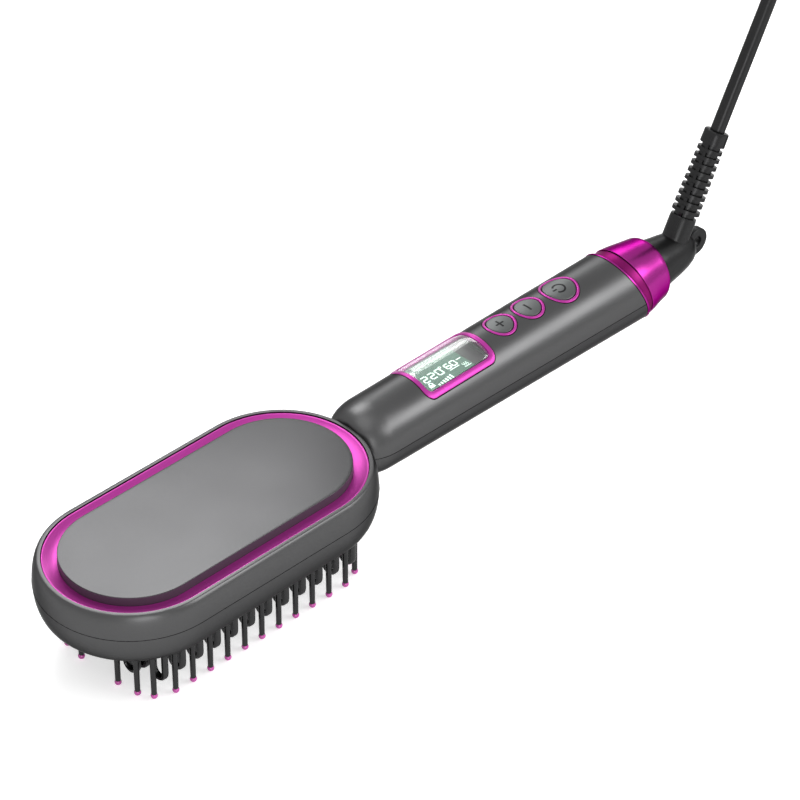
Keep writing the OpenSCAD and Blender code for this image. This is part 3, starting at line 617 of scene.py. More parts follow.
class BRUSH_OT_stage(Operator):
    """Camera at the photograph's angle, pale floor, soft lamps and a white world"""

    bl_idname = "hairbrush.stage"
    bl_label = "Camera, floor and lamps"

    def execute(self, context):
        photo_camera()
        stage = context.scene.brush_stage
        size = 6.0
        mesh = bpy.data.meshes.new("floor")
        mesh.from_pydata(
            [(-size, -size, 0), (size, -size, 0), (size, size, 0), (-size, size, 0)], [], [(0, 1, 2, 3)]
        )
        floor = bpy.data.objects.new("floor", mesh)
        context.scene.collection.objects.link(floor)
        mat = bpy.data.materials.new("pale_floor")
        mat.use_nodes = True
        tree = mat.node_tree
        plain = tree.nodes["Principled BSDF"]
        plain.inputs["Base Color"].default_value = (*stage.floor, 1)
        plain.inputs["Roughness"].default_value = 0.9
        plain.inputs["Specular IOR Level"].default_value = 0.1
        plain.inputs["Emission Color"].default_value = (1, 1, 1, 1)
        by_ray(tree, 0.0, 0.6, plain.inputs["Emission Strength"])
        mesh.materials.append(mat)

        world = bpy.data.worlds.new("studio")
        context.scene.world = world
        world.use_nodes = True
        tree = world.node_tree
        ground = tree.nodes["Background"]
        by_ray(tree, 0.32, 1.0, ground.inputs["Strength"])
        ground.inputs["Color"].default_value = (1, 1, 1, 1)

        aim = (0.0, 0.0, 0.03)
        softbox("key_lamp", (0.56, -0.66, 0.50), 1.0, (0.8, 0.36), stage.key, aim)
        softbox("back_lamp", (0.56, 0.569, 0.603), 0.45, (0.18, 0.18), stage.back, (-0.215, -0.045, 0.04))
        softbox("low_lamp", (0.56, 0.70, 0.46), 0.55, (0.30, 0.20), stage.low, (0.13, 0.0, 0.04))
        softbox("front_lamp", (-0.66, -0.74, 0.08), 1.0, (0.35, 0.5), stage.front, (0.10, 0.0, 0.08))
        softbox("top_lamp", (-0.35, -0.10, 1.0), 1.1, (0.9, 0.9), stage.fill, aim)
        context.scene.view_settings.view_transform = "Standard"
        return {"FINISHED"}


# ---------------------------------------------------------------- lead

LEAD_POINTS = [
    [242.9, 0, 73], [248.6, 0, 83.5], [254.4, 0, 94], [260.2, 0, 104.6],
    [266, 0, 115.2], [270, 0.3, 122], [275.5, 1.2, 128.2], [283, 2.6, 132.4],
    [291.5, 4.6, 133.4], [300, 6.6, 130.6], [307, 8.4, 124.6], [311.6, 9.6, 116.4],
    [313.6, 10, 106], [314, 10, 94], [314, 10, 82], [314, 10, 70], [314, 10, 58],
    [314, 10, 46], [314, 10, 35], [314, 9, 24.5], [314, 5.6, 15.4], [314, 0, 8.2],
    [314, -7, 3.9], [314, -14, 2.65],
]
COIL_CENTRE = np.array([358.0, -14.0])
COIL_LOW, COIL_UP, COIL_OVER = 4.0, 3 + 1 / 6, 1 / 3
COIL_PITCH, COIL_IN = 5.9, 20.4
COIL_OVER_R = 24.0
TIE_AT = 126.0
PLUG_HALF = 6.85
PLUG_Z = LEAD_D + COIL_PITCH + PLUG_HALF + 0.1


def coil(t):
    """Point on the put-away lead after t turns: a spiral that winds in on
    the floor, climbs one layer and winds out on top, then bends off on a
    smaller circle up to the plug. It is lifted where the tie passes under."""
    end = COIL_LOW + COIL_UP
    r = COIL_IN + np.abs(t - COIL_LOW) * COIL_PITCH
    out_r = COIL_IN + COIL_UP * COIL_PITCH
    lift = 1.35 * 0.6 * np.maximum(0, np.cos(2 * PI * t + PI - np.radians(TIE_AT))) ** 4
    z = (
        LEAD_D / 2
        + lift
        + COIL_PITCH * ease((t - COIL_LOW + 0.2) / 0.4)
        + (PLUG_Z - LEAD_D / 2 - COIL_PITCH) * ease((t - end + 0.1) / 0.3)
    )
    over = t > end
    shift = np.where(over, out_r - COIL_OVER_R, 0)
    r = np.where(over, COIL_OVER_R, r)
    x = COIL_CENTRE[0] - shift * np.cos(2 * PI * end) - r * np.cos(2 * PI * t)
    y = COIL_CENTRE[1] - shift * np.sin(2 * PI * end) - r * np.sin(2 * PI * t)
    return np.stack([x, y, z], -1)


def lead_path():
    """The whole lead: the free stretch from the strain relief to the floor,
    the coil, and the last straight millimetres into the plug."""
    last = COIL_LOW + COIL_UP + COIL_OVER
    turns = coil(np.linspace(0, last, int(last * 64)))[1:]
    tail = turns[-1] + np.array([[0, 2, 0], [0, 5, 0]])
    return np.concatenate([spline(LEAD_POINTS, 10), turns, tail])


class BRUSH_OT_lead(Operator):
    """The mains lead in one length, its coil, the band round the coil and the plug"""

    bl_idname = "hairbrush.lead"
    bl_label = "Mains lead and plug"

    def execute(self, context):
        counts = context.scene.brush_counts
        path = lead_path()
        lead = skin("mains_lead", [closed(tube(path, mm("lead") / 2, counts.lead_sides))])
        paint(lead, "rubber")
        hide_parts("cord_lead", "cord_coil")

        t = mm("tie")
        turn = np.radians(TIE_AT)
        out = np.array([np.cos(turn), np.sin(turn), 0])
        along = np.array([-np.sin(turn), np.cos(turn), 0])
        centre = np.array([*COIL_CENTRE, (LEAD_D + COIL_PITCH + 2.45 * t) / 2])
        centre = centre + out * (COIL_IN + 1.65 * COIL_PITCH)
        w, h = 24.2, LEAD_D + COIL_PITCH + 0.45 * t
        half = [(0, 3.3), (0.12, 3.5), (t - 0.12, 3.5), (t, 3.3)]
        section = [(0, -3.3)] + half + [(d, -across) for d, across in half[:0:-1]]
        rows = []
        for d, s in section:
            loop = rounded_loop(w + 2 * d, h + 2 * d, 3 + d)
            rows.append(centre + loop[:, :1] * out + loop[:, 1:] * [0, 0, 1] + s * along)
        tie = dress(skin("coil_tie", [looped(np.stack(rows, 1))]), "swivel", "brush", "tie_black", "cord_tie")

        plug = self.plug(coil(np.array(COIL_LOW + COIL_UP + COIL_OVER)) + [0, 5, 0])
        pins = paint(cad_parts["plug_pins"], "nickel")
        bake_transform(lead)
        mm("lead") / 1000
        return {"FINISHED"}

    def at(self, p):
        """A point of the lead in metres, in the model's frame."""
        return ((p[0] - MID_X) / 1000, p[1] / 1000, p[2] / 1000)

    def plug(self, at):
        """A flat moulded plug: its width and height follow its length, and
        each cross section is a rounded rectangle, drawn in for two grooves."""
        # place along the plug, half its width, half its height
        sections = [
            (0, 3.2, 3.2), (0.4, 3.6, 3.6), (2, 3.9, 3.9), (4, 4.3, 4.3), (4.6, 4.4, 4.4), (5.2, 3.9, 3.9),
            (6.6, 3.9, 3.9), (7.2, 4.7, 4.7), (7.8, 4.8, 4.8), (9.2, 4.3, 4.3), (9.8, 4.3, 4.3),
            (10.4, 5.3, 5.1), (12, 6.2, 5.6), (13.5, 7.6, 6.2), (15.5, 9.4, 6.6), (18, 11.2, 6.8), (21.5, 13.0, 6.85),
            (25, 14.6, 6.85), (28.5, 16.2, 6.85), (32, 17.3, 6.85), (34.5, 17.6, 6.85), (35.5, 17.3, 6.55),
            (36, 16.6, 5.9),
        ]
        rows = []
        for y, a, b in sections:
            loop = rounded_loop(2 * a, 2 * b, min(a, b) * (0.98 if y < 12 else 0.62))
            rows.append(at + np.stack([loop[:, 0], np.full(len(loop), y), loop[:, 1]], -1))
        body = skin("plug_moulding", [closed(np.stack(rows, 1))])
        return dress(body, "swivel", "brush", "plug_black", "plug_body")


# ---------------------------------------------------------------- head


class BRUSH_OT_shell(Operator):
    """Gun metal shells with the parting line between them, drawn as a bead of painted shade"""

    bl_idname = "hairbrush.shell"
    bl_label = "Shells"

    def execute(self, context):
        for n in ("upper_shell", "lower_shell"):
            dress(merged(n), "gun_metal", "brush", "shell", n)
        line = skin("parting_line", self.line())
        # The bead is near black: painted shade for the shadow in the joint.
        dress(line, "gap", "brush", "shell")
        return {"FINISHED"}

    def line(self):
        """A thin bead of painted shade, dark as the shadow in the joint, that follows
            the joint of the two shells: round the head's widest oval, and along both sides of the handle."""
        thick = 0.09
        section = arc(SHELL_R, SEAM, thick, 0, 360, 8)[:-1]
        shells = [looped(oval_sweep(section))]
        nose = 63.4 + NOSE_RUN * (1 - np.cos(np.linspace(0.25, PI / 2, 12)))
        x = np.concatenate([nose, np.linspace(78, 193.0, 40)])
        bend = np.sqrt(np.clip(1 - ((NOSE_BACK - x) / NOSE_RUN) ** 2, 0, 1))
        r = np.where(x < NOSE_BACK, NOSE_FLAT + NOSE_ROUND * bend, handle_r(x))
        drop = AXIS - SEAM
        y = np.sqrt(r**2 - drop**2)
        for s in (-1, 1):
            path = np.stack([x, s * y, np.full(len(x), SEAM)], -1)
            shells.append(closed(tube(path, thick, 8)))
        return shells


class BRUSH_OT_ring(Operator):
    """Dished pink ring round the back plate"""

    bl_idname = "hairbrush.ring"
    bl_label = "Accent ring"

    def execute(self, context):
        low, high = box_mm("accent_ring")
        outer, inner = high[1] - 0.05, PLATE_HIGH[1] + 0.12
        top, floor = high[2], low[2]
        r = np.linspace(outer - 0.45, inner, 14)
        depth = mm("ring_dish") * (1 - ((r - inner) / (outer - 0.45 - inner)) ** 1.7)
        dish = np.stack([r, top - depth], -1)
        edge = arc(outer - 0.3, top - 0.3, 0.3, 0, 90, 5)
        profile = np.concatenate([[[inner, floor], [outer, floor], [outer, top - 0.6]], edge, dish])
        ring = skin("accent_ring_dished", [looped(oval_sweep(profile))], sharp=50)
        dress(ring, "pink", "brush", "accent", "accent_ring")
        return {"FINISHED"}


class BRUSH_OT_plate(Operator):
    """Flat oval back plate with a rounded edge"""

    bl_idname = "hairbrush.plate"
    bl_label = "Back plate"

    def execute(self, context):
        e = mm("plate_edge")
        r, low, top = PLATE_HIGH[1], PLATE_LOW[2], PLATE_HIGH[2]
        edge = arc(r - e, top - e, e, 0, 90, 6)
        inside = np.linspace(r - e - 0.8, 0.6, 10)
        wall = [[r - 0.6, low], [r, low + 0.05], [r, top - 1.4 * e]]
        profile = np.concatenate([wall, edge, np.stack([inside, np.full(10, top)], -1)])
        plate = skin("back_plate_rounded", [closed(oval_sweep(profile))], sharp=50)
        dress(plate, "plate", "brush", "plate", "back_plate")
        # The wall faces get the painted reflection finish: a purplish tint for the pink ring seen in them.
        plate.data.materials.append(FINISH["plate_wall"])
        for face in plate.data.polygons:
            face.material_index = int(abs(face.normal.z) < 0.5)
        return {"FINISHED"}


def loop_places():
    """Middle of each guard loop: rows half way between the side pins, and a
    short row of four beyond the last row at each end."""
    rows, cols = np.meshgrid((np.arange(12) - 5.5) * 7.48, (np.arange(6) - 2.5) * 8.56, indexing="ij")
    main = np.stack([rows.ravel(), cols.ravel()], -1)
    ends = [[s * 44.9, y] for s in (-1, 1) for y in (-12.6, -4.2, 4.2, 12.6)]
    return np.concatenate([main, ends])


def pin_places():
    """Places of the guide pins: a row of eleven along each side, and rounds
    of pins at the ends, where the handle's end has one more in the middle."""
    side = [[(i - 5) * 7.48, s * 24.6] for s in (-1, 1) for i in range(11)]
    corner = ((44.2, 21.9), (46.9, 17.0), (48.0, 8.9))
    ends = [[sx * x, sy * y] for x, y in corner for sx in (-1, 1) for sy in (-1, 1)]
    return np.array(side + ends + [[48.0, 0.0]])


class BRUSH_OT_comb(Operator):
    """Comb plate with its guard loops, and the heating plate inside them"""

    bl_idname = "hairbrush.comb"
    bl_label = "Comb plate and loops"

    def execute(self, context):
        inner = 26.2
        edge = arc(inner - 0.5, COMB + 0.5, 0.5, -90, 0, 4)
        inside = np.linspace(0.5, inner - 1.2, 8)
        under = np.stack([inside, np.full(8, COMB)], -1)
        back = [[inner, COMB + 1.2], [27.3, COMB + 1.2], [27.3, 22.0], [0.5, 22.0]]
        profile = np.concatenate([under, edge, back])
        shells = [closed(oval_sweep(profile))]
        one = self.loop()
        shells += [looped(one + [x, y, 0]) for x, y in loop_places()]
        comb = skin("comb_plate_and_loops", shells, sharp=50)
        dress(comb, "comb", "brush", "comb", "comb_plate")
        paint(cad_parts["heating_plate"], "heater")
        return {"FINISHED"}

    def loop(self):
        """One guard loop: a rounded bar section carried down one leg, round
        a half circle and up the other, flaring where it meets the plate, and
        closed through the plate."""
        w, leg, t = mm("loop_width"), mm("loop_leg"), mm("loop_depth")
        low = 6.15
        mid_r = (w - leg) / 2
        bend = arc(0, low + w / 2, mid_r, 180, 360, 10)
        top = COMB + 0.6
        down = np.array([[-mid_r, z] for z in (top, COMB - 0.05, COMB - 0.9, COMB - 2.4, 14.0)])
        up = down[::-1] * [-1, 1]
        path = np.concatenate([down, bend, up])
        flare = np.concatenate([[1.75, 1.6, 1.15, 1, 1], np.ones(11), [1, 1, 1.15, 1.6, 1.75]])
        way = unit(np.gradient(path, axis=0))
        side = np.stack([-way[:, 1], way[:, 0]], -1)
        c = 0.42
        half = np.array([[-1, -1 + c], [-1, 1 - c], [-1 + c, 1], [1 - c, 1]])
        sec = np.concatenate([half, -half])
        across = sec[:, 0, None] * leg / 2 * (1 + (flare - 1) * 0.6)
        along = sec[:, 1, None] * t / 2 * (1 + (flare - 1) * 0.35)
        y = path[:, 0] + side[:, 0] * across
        z = path[:, 1] + side[:, 1] * across
        return np.stack([along, y, z], -1)


class BRUSH_OT_pins(Operator):
    """Guide pins and their pink ball tips"""

    bl_idname = "hairbrush.pins"
    bl_label = "Guide pins"

    def execute(self, context):
        tip, stem, root = mm("pin_tip"), mm("pin_stem"), mm("pin_root")
        profile = [
            [0.02, tip + 0.2], [stem * 0.97, tip + 0.2], [stem, 6], [stem * 1.06, 14],
            [stem * 1.1, COMB - 2.2], [stem * 1.2, COMB - 0.9], [stem * 1.38, COMB - 0.35],
            [root, COMB], [root, COMB + 0.5], [0.02, COMB + 0.5],
        ]
        ball = arc(0, 0, tip, -90, 52, 14)
        ball = np.concatenate([[[0.01, -tip]], ball[1:], [[stem * 0.9, tip * 0.9], [0.01, tip * 0.9]]])
        one = lathe(profile, [0, 0, 0], [0, 0, 1], 20)
        cap = lathe(ball, [0, 0, tip], [0, 0, 1], 20)
        places = [[x, y, 0] for x, y in pin_places()]
        pins = skin("guide_pin_stems", [closed(one + p) for p in places], sharp=50)
        tips = skin("guide_pin_tips", [closed(cap + p) for p in places], sharp=60)
        dress(pins, "comb", "brush", "pins", "guide_pins")
        dress(tips, "tips", "brush", "tips", "pin_tips")
        return {"FINISHED"}


# ---------------------------------------------------------------- handle


class BRUSH_OT_display(Operator):
    """Display frame, curved window and the lit display under it"""

    bl_idname = "hairbrush.display"
    bl_label = "Display"

    def execute(self, context):
        low, high = box_mm("display_frame")
        l, w, border = high[0] - low[0], high[1] - low[1], 1.9
        b = mm("bead")
        outside = [(0, -1.4), (0, -0.05), (0.12, b * 0.7), (0.45, b)]
        section = outside + [(1.4, b), (border - 0.15, b * 0.6), (border, -0.1), (border, -1.5)]

        def outline(d):
            return self.plan(rounded_loop(l - 2 * d, w - 2 * d, 3.2 - d * 0.65))

        bezel = looped(np.stack([wrap(outline(d), h) for d, h in section], 1))
        ring = skin("display_bezel", [bezel], sharp=40)
        dress(ring, "pink", "brush", "accent", "display_frame")
        # Painted shade: a dark ring round the bezel stands in for the shadow in the gap.
        dress(skin("display_gap", [shadow_gap(outline)]), "gap", "brush", "shell")

        window = skin("display_window", [self.window(l - 2 * border - 0.4, w - 2 * border - 0.4)], sharp=40)
        dress(window, "lens", "brush", "lens", "display_lens")
        self.screen()
        return {"FINISHED"}

    def window(self, l, w, corner=1.8, thick=1.28):
        """The window as rows across the handle. A row runs along the outer
        face and back along the inner one, and rows grow shorter by the
        corners' arcs."""
        y = w / 2 * np.sin(np.linspace(-PI / 2, PI / 2, 33))
        into = np.clip(np.abs(y) - (w / 2 - corner), 0, corner)
        half = l / 2 - corner + np.sqrt(np.maximum(corner**2 - into**2, 0))
        run = np.linspace(-1, 1, 13)
        along = np.concatenate([run * 0.985, [1.0], run[::-1], [-1.0]])
        height = np.concatenate([np.full(13, 0.04), [-0.04], np.full(13, -thick), [-0.04]])
        x = along[:, None] * half[None]
        plan = np.stack([x, np.broadcast_to(y, x.shape)], -1)
        return closed(wrap(self.plan(plan), height[:, None]))

    def plan(self, loop):
        """Moves plan points from the display's middle to its place."""
        return loop + [DISPLAY, 0]

    def screen(self):
        """The flat display: a dark panel, a lit ground, and lit strokes for
        digits, bars and signs, each a thin closed bar on the panel."""
        lo, hi = box_mm("display_screen")
        z = hi[2]

        def lay(plan, height):
            return np.stack([plan[..., 0], plan[..., 1], z + height], -1)

        def slab(x0, x1, y0, y1, h0, h1):
            ring = np.array([[x0, y0], [x1, y0], [x1, y1], [x0, y1]], float)
            return closed(np.stack([lay(ring, np.full(4, h)) for h in (h0, h1)], 1))

        panel = skin("display_panel", [slab(lo[0] + MID_X, hi[0] + MID_X, lo[1], hi[1], lo[2] - hi[2], 0)])
        dress(panel, "panel", "brush", "screen", "display_screen")
        ground = skin("display_ground", [slab(93.9, 115.4, -7.1, 7.1, -0.05, 0.02)])
        dress(ground, "ground", "brush", "screen")

        def bar(p, q, width):
            return stroke([p, q], width, 0.05, 0.0, lay)

        def digit(n, x, y, w, h, t):
            a, b, c = y, y + h / 2, y + h
            s = 0.12
            parts = {
                "a": ([x + s, c], [x + w - s, c]),
                "b": ([x + w, b + s], [x + w, c - s]),
                "c": ([x + w, a + s], [x + w, b - s]),
                "d": ([x + s, a], [x + w - s, a]),
                "e": ([x, a + s], [x, b - s]),
                "f": ([x, b + s], [x, c - s]),
                "g": ([x + s, b], [x + w - s, b]),
            }
            return [bar(*parts[k], t) for k in {"0": "abcdef", "2": "abged", "6": "afgcde"}[n]]

        lit = []
        for i, n in enumerate("220"):
            lit += digit(n, 96.3 + i * 3.2, -3.0, 2.1, 3.1, 0.55)
        for i, n in enumerate("60"):
            lit += digit(n, 107.0 + i * 2.7, -2.5, 1.9, 2.6, 0.5)
        degree = circle(0.45, 12) + [105.5, 0.2]
        lit.append(stroke(np.vstack([degree, degree[:1]]), 0.25, 0.05, 0, lay))
        for i in range(6):
            lit.append(bar([98.9 + i * 1.25, -7.0], [98.9 + i * 1.25, -6.1 + i * 0.26], 0.7))
        lit.append(slab(95.4, 97.6, -6.2, -4.8, 0, 0.05))
        lit.append(stroke(arc(96.8, -4.5, 0.7, -30, 200, 8), 0.4, 0.05, 0, lay))
        lit.append(bar([107.0, -3.4], [111.4, -3.4], 0.35))
        lit.append(bar([112.6, -0.6], [114.6, -0.6], 0.4))
        for i in range(3):
            x = 112.6 + i * 0.8 + 0.2 * np.sin(np.linspace(0, 2 * PI, 9))
            lit.append(stroke(np.stack([x, np.linspace(-5.0, -3.4, 9)], -1), 0.25, 0.05, 0, lay))
        lit.append(bar([112.0, -5.5], [115.0, -5.5], 0.3))
        signs = skin("display_signs", lit, sharp=30)
        dress(signs, "lit", "brush", "screen")


class BRUSH_OT_buttons(Operator):
    """Three button rings, their caps and the symbols on them"""

    bl_idname = "hairbrush.buttons"
    bl_label = "Buttons"

    def execute(self, context):
        b, wide = mm("bead"), mm("ring_width")
        outside = [(0, -1.6), (0, -0.06), (0.1, b * 0.55), (0.3, b * 0.92), (0.5, b)]
        section = outside + [(0.7, b * 0.92), (wide - 0.1, b * 0.55), (wide, -0.1), (wide, -1.6)]
        rings, gap_shades = [], []
        for x, r, name, body in self.keys():

            def outline(d):
                return circle(r - d) + [x, 0]

            rings.append(looped(np.stack([wrap(outline(d), h) for d, h in section], 1)))
            # Painted shade round each ring, for the shadow in the gap.
            gap_shades.append(shadow_gap(outline))
            self.cap(x, r, r - wide - 0.28, name, body)
        dress(skin("button_rings_rounded", rings, sharp=50), "pink", "brush", "accent", "button_rings")
        dress(skin("button_gaps", gap_shades), "gap", "brush", "shell")
        return {"FINISHED"}

    def keys(self):
        """Place, outer ring radius, node and body of each button."""
        return [
            (PLUS, 6.0, "plus_button", "plus_key"),
            (MINUS, 6.0, "minus_button", "minus_key"),
            (POWER, 7.2, "power_button", "power_key"),
        ]

    def cap(self, x, ring, r, name, body):
        """A cap whose top is a shallow dish with a rounded rim, laid on the
        handle, and whose skirt goes down to the button's flange."""
        dish = mm("cap_dish")

        def height(rho):
            return 0.12 - dish * (1 - (rho / r) ** 2)

        inside = np.linspace(0.92, 0.02, 12) * r
        rim = [(r, -0.9), (r, -0.12), (r - 0.05, 0.0), (r - 0.16, 0.07)]
        top = rim + [(q, height(q)) for q in inside]
        rows = [wrap(circle(q) + [x, 0], h) for q, h in top]
        low = box_mm(name)[0][2]
        under = AXIS + np.sqrt(11.5**2 - ring**2) - 0.4
        seat, wide = under - 1.2, ring - 0.45
        flange = [(0.02, low), (1.5, low), (1.5, seat), (wide, seat), (wide, under), (r, under)]
        foot = [np.concatenate([circle(q) + [x, 0], np.full((64, 1), z)], 1) for q, z in flange]
        cap = skin(name + "_cap", [closed(np.stack(foot + rows, 1))], sharp=40)
        dress(cap, "key", body, "key_grey", name)

        def lay(plan, h):
            return wrap(plan + [x, 0], h + height(np.linalg.norm(plan, axis=-1)))

        marks = {
            "plus_button": [
                [[q, 0] for q in (-1.75, -0.9, 0, 0.9, 1.75)],
                [[0, q] for q in (-1.95, -1, 0, 1, 1.95)],
            ],
            "minus_button": [[[0, q] for q in (-2.0, -1, 0, 1, 2.0)]],
            "power_button": [[[-2.9, 0], [-2.0, 0], [-1.0, 0]], arc(0, 0, 2.2, 218, 502, 28)],
        }[name]
        lines = [stroke(m, 0.72, 0.03, -0.12, lay) for m in marks]
        sign = skin(name + "_symbol", lines, sharp=30)
        dress(sign, "ink", body, "key_grey")


class BRUSH_OT_collar(Operator):
    """Pink collar whose joint with the handle is cut on a slant"""

    bl_idname = "hairbrush.collar"
    bl_label = "Collar"

    def execute(self, context):
        end = box_mm("collar")[1][0] + MID_X
        # distance behind the joint, share of the joint's slant, radius
        lip = [
            (0.2, 1, 11.9), (0.2, 1, 14.3), (0.3, 1, 14.5), (0.7, 1, 14.6),
            (1.1, 1, 14.5), (1.3, 1, 14.25), (1.3, 1, 11.9),
        ]
        band = [(1.2, 1, 11.9), (1.2, 1, 14.0), (2.4, 1, 13.72), (4.2, 0.8, 13.5), (4.2, 0.8, 11.9)]
        main = [
            (3.9, 0.68, 11.9), (3.9, 0.68, 13.45), (3.95, 0.68, 13.8), (4.1, 0.68, 13.92),
            (6.0, 0.56, 13.75), (8.0, 0.42, 13.42), (10.0, 0.26, 13.02), (12.0, 0.12, 12.64),
            (13.6, 0.03, 12.38), (14.7, 0, 12.22),
            (15.1, 0, 12.05), (15.35, 0, 11.7), (15.4, 0, 11.3), (15.4, 0, 8.6),
            (10.6, 0, 8.6), (10.4, 0, 11.9),
        ]
        shape = [self.turned(rows, end) for rows in (lip, main)]
        dress(skin("collar_turned", shape, sharp=38), "pink_metal", "brush", "accent", "collar")
        # The hollow band is painted a darker pink: painted shade over its real concave shape.
        dress(skin("collar_recess", [self.turned(band, end)], sharp=38), "pink_deep", "brush", "accent")
        return {"FINISHED"}

    def turned(self, rows, end):
        """Rows of distance, slant and radius turned about the handle's axis:
        x leans back by the slant's share of the joint's slope."""
        back, share, r = np.array(rows).T
        back = back * (end - COLLAR) / 15.4
        a = np.linspace(0, 2 * PI, 96, endpoint=False)[:, None]
        x = COLLAR + back - share * COLLAR_SLOPE * r * np.cos(a)
        return looped(np.stack([x, r * np.sin(a), AXIS + r * np.cos(a)], -1))


class BRUSH_OT_swivel(Operator):
    """Swivel with its hanging eyelet and the ribbed strain relief"""

    bl_idname = "hairbrush.swivel"
    bl_label = "Swivel and strain relief"

    def execute(self, context):
        steps = context.scene.brush_counts.turns
        start = box_mm("swivel_body")[0][0] + MID_X
        end = HANDLE_END
        dome = [
            [0.02, start], [8.4, start], [8.4, end - 6.15], [7.5, end - 6.15], [7.5, end - 5.25],
            [8.5, end - 5.25], [8.5, end + 0.3], [9.5, end + 0.3], [9.75, end + 0.45], [9.7, end + 1.5],
            [9.4, end + 4], [8.95, end + 6.5], [8.45, end + 10], [7.95, end + 13], [7.3, end + 16],
            [6.5, end + 18.6], [5.5, end + 20.6], [4.3, end + 21.9], [2.9, end + 22.6],
            [1.4, end + 22.85], [0.02, end + 22.9],
        ]
        shells = [closed(lathe(dome, [0, 0, AXIS], [1, 0, 0], steps))]
        eye = np.array([233.4, 0, AXIS - 0.3])
        r, hole, half = 5.3, 2.2, 1.7
        ring = np.concatenate([
            arc(r - 0.6, half - 0.6, 0.6, 0, 90, 5), arc(hole + 0.5, half - 0.5, 0.5, 90, 180, 4),
            arc(hole + 0.5, 0.5 - half, 0.5, 180, 270, 4), arc(r - 0.6, 0.6 - half, 0.6, 270, 360, 5),
        ])
        shells.append(looped(lathe(ring, eye, [0, 1, 0], 48)))
        web = []
        for x, h in [(222.0, 5.2), (225.0, 5.2), (228.0, 5.25), (229.6, 5.2), (230.4, 3.9)]:
            loop = rounded_loop(2 * half, 2 * h, 0.6)
            web.append(np.stack([np.full(len(loop), x), loop[:, 0], eye[2] + loop[:, 1]], -1))
        shells.append(closed(np.stack(web, 1)))
        body = skin("swivel_housing", shells, sharp=45)
        dress(body, "swivel", "cord_swivel", "black_plastic", "swivel_body")
        relief = skin("strain_relief_ribbed", [self.relief()], sharp=40)
        dress(relief, "rubber", "cord_swivel", "cord_black", "strain_relief")
        return {"FINISHED"}

    def relief(self):
        """A sleeve whose radius drops between ribs, except along two bars
        that face to and from the handle, and which tapers to its end."""
        tilt = RELIEF_TILT
        seat = np.array([222.6, 0, AXIS + 4.9])
        axis = np.array([np.cos(tilt), 0, np.sin(tilt)])
        toward = np.array([-np.sin(tilt), 0, np.cos(tilt)])
        side = np.array([0, 1.0, 0])
        a = np.linspace(0, 2 * PI, 96, endpoint=False)
        first, pitch, n = 9.7, 2.88, 10
        s, deep = [-2.4, -2.2, 8.6, 9.4, 9.68], [0, 0, 0, 0, 0]
        for i in range(n):
            at = first + i * pitch
            s += [at + 0.04, at + 0.12, at + 1.32, at + 1.40, at + 1.52, at + pitch - 0.12, at + pitch - 0.02]
            deep += [1, 1, 1, 1, 0, 0, 0]
        s += [40.4, 41.6, 42.0, 42.17]
        deep += [0, 0, 0, 0]
        s, deep = np.array(s), np.array(deep, float)
        outer = np.interp(s, [-2.4, 0, 8.6, 9.68, 10.4, 38.0, 42.2], [4.85, 4.9, 4.85, 4.7, 5.2, 4.55, 4.5])
        outer = outer - np.where(s < -2.3, 0.2, 0) - np.where(s > 42.1, 0.45, 0)
        outer = outer - np.where((s > 41.9) & (s < 42.1), 0.12, 0)
        core = np.interp(s, [9, 40], [3.75, 3.4])
        turn = np.arctan2(np.sin(a - RELIEF_BAR), np.cos(a - RELIEF_BAR))
        bar = (np.abs(turn) < 0.16) | (np.abs(turn) > PI - 0.16)
        r = np.where((deep[None] > 0) & ~bar[:, None], core[None], outer[None] - 0.1 * (deep[None] > 0))
        spoke = np.cos(a)[:, None] * toward - np.sin(a)[:, None] * side
        grid = seat + spoke[:, None] * r[..., None] + s[:, None] * axis
        inner = seat + (spoke * (LEAD_D / 2 + 0.02))[:, None] + np.array([42.17, 36.0])[:, None] * axis
        return closed(np.concatenate([grid, inner], 1))


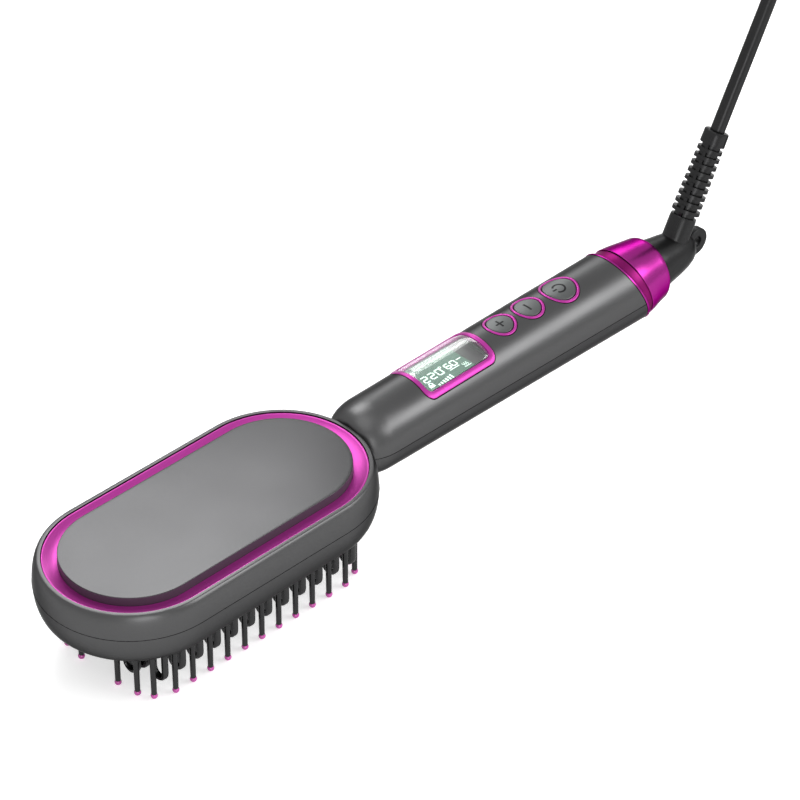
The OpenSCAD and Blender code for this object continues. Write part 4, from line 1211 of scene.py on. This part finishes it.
class BRUSH_OT_inside(Operator):
    """Finishes of the CAD pieces that stay: electronics, screws and wires"""

    bl_idname = "hairbrush.inside"
    bl_label = "Inner pieces"

    def execute(self, context):
        by_finish = {
            "zinc": ["plate_screws", "clamp_screws", "shell_screws"],
            "ceramic": ["ptc_heaters"],
            "mica": ["mica_sheet"],
            "spring": ["heater_clamp", "swivel_clip"],
            "black": ["thermistor", "control_chip", "tact_switches", "triac", "lcd_module"],
            "white": ["thermal_fuse", "board_fuse", "lcd_holder", "contact_carrier"],
            "pale_wire": ["heater_wires"],
            "red_wire": ["sensor_wires"],
            "blue_wire": ["mains_wires"],
            "board": ["control_board", "power_board"],
            "tape": ["transformer"],
            "can": ["mains_capacitor"],
            "brass": ["contact_pins", "slip_rings"],
            "rubber": ["cable_core"],
        }
        for name, nodes in by_finish.items():
            for n in nodes:
                paint(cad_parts[n], name)
        return {"FINISHED"}


# ---------------------------------------------------------------- panel

OPERATORS = (
    BRUSH_OT_stage,
    BRUSH_OT_lead,
    BRUSH_OT_shell,
    BRUSH_OT_ring,
    BRUSH_OT_plate,
    BRUSH_OT_comb,
    BRUSH_OT_pins,
    BRUSH_OT_display,
    BRUSH_OT_buttons,
    BRUSH_OT_collar,
    BRUSH_OT_swivel,
    BRUSH_OT_inside,
)
GROUPS = {
    "brush_sizes": BrushSizes,
    "brush_colours": BrushColours,
    "brush_stage": StageSettings,
    "brush_counts": FinishCounts,
}


class BRUSH_PT_panel(Panel):
    """Settings and builders of the brush"""

    bl_idname = "BRUSH_PT_panel"
    bl_label = "Hair Straightening Brush"
    bl_space_type = "VIEW_3D"
    bl_region_type = "UI"
    bl_category = "Brush"

    def draw(self, context):
        for group in GROUPS:
            box = self.layout.box()
            settings = getattr(context.scene, group)
            for name in settings.bl_rna.properties.keys():
                if name not in {"rna_type", "name"}:
                    box.prop(settings, name)
        for op in OPERATORS:
            self.layout.operator(op.bl_idname)


def register():
    for cls in (*GROUPS.values(), *OPERATORS, BRUSH_PT_panel):
        bpy.utils.register_class(cls)
    for name, cls in GROUPS.items():
        setattr(bpy.types.Scene, name, PointerProperty(type=cls))


def unregister():
    for name in GROUPS:
        delattr(bpy.types.Scene, name)
    for cls in (BRUSH_PT_panel, *reversed(OPERATORS), *reversed(GROUPS.values())):
        bpy.utils.unregister_class(cls)


def main():
    register()
    make_finishes()
    for op in OPERATORS:
        group, name = op.bl_idname.split(".")
        getattr(getattr(bpy.ops, group), name)()
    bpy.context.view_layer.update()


if __name__ == "__main__":
    main()
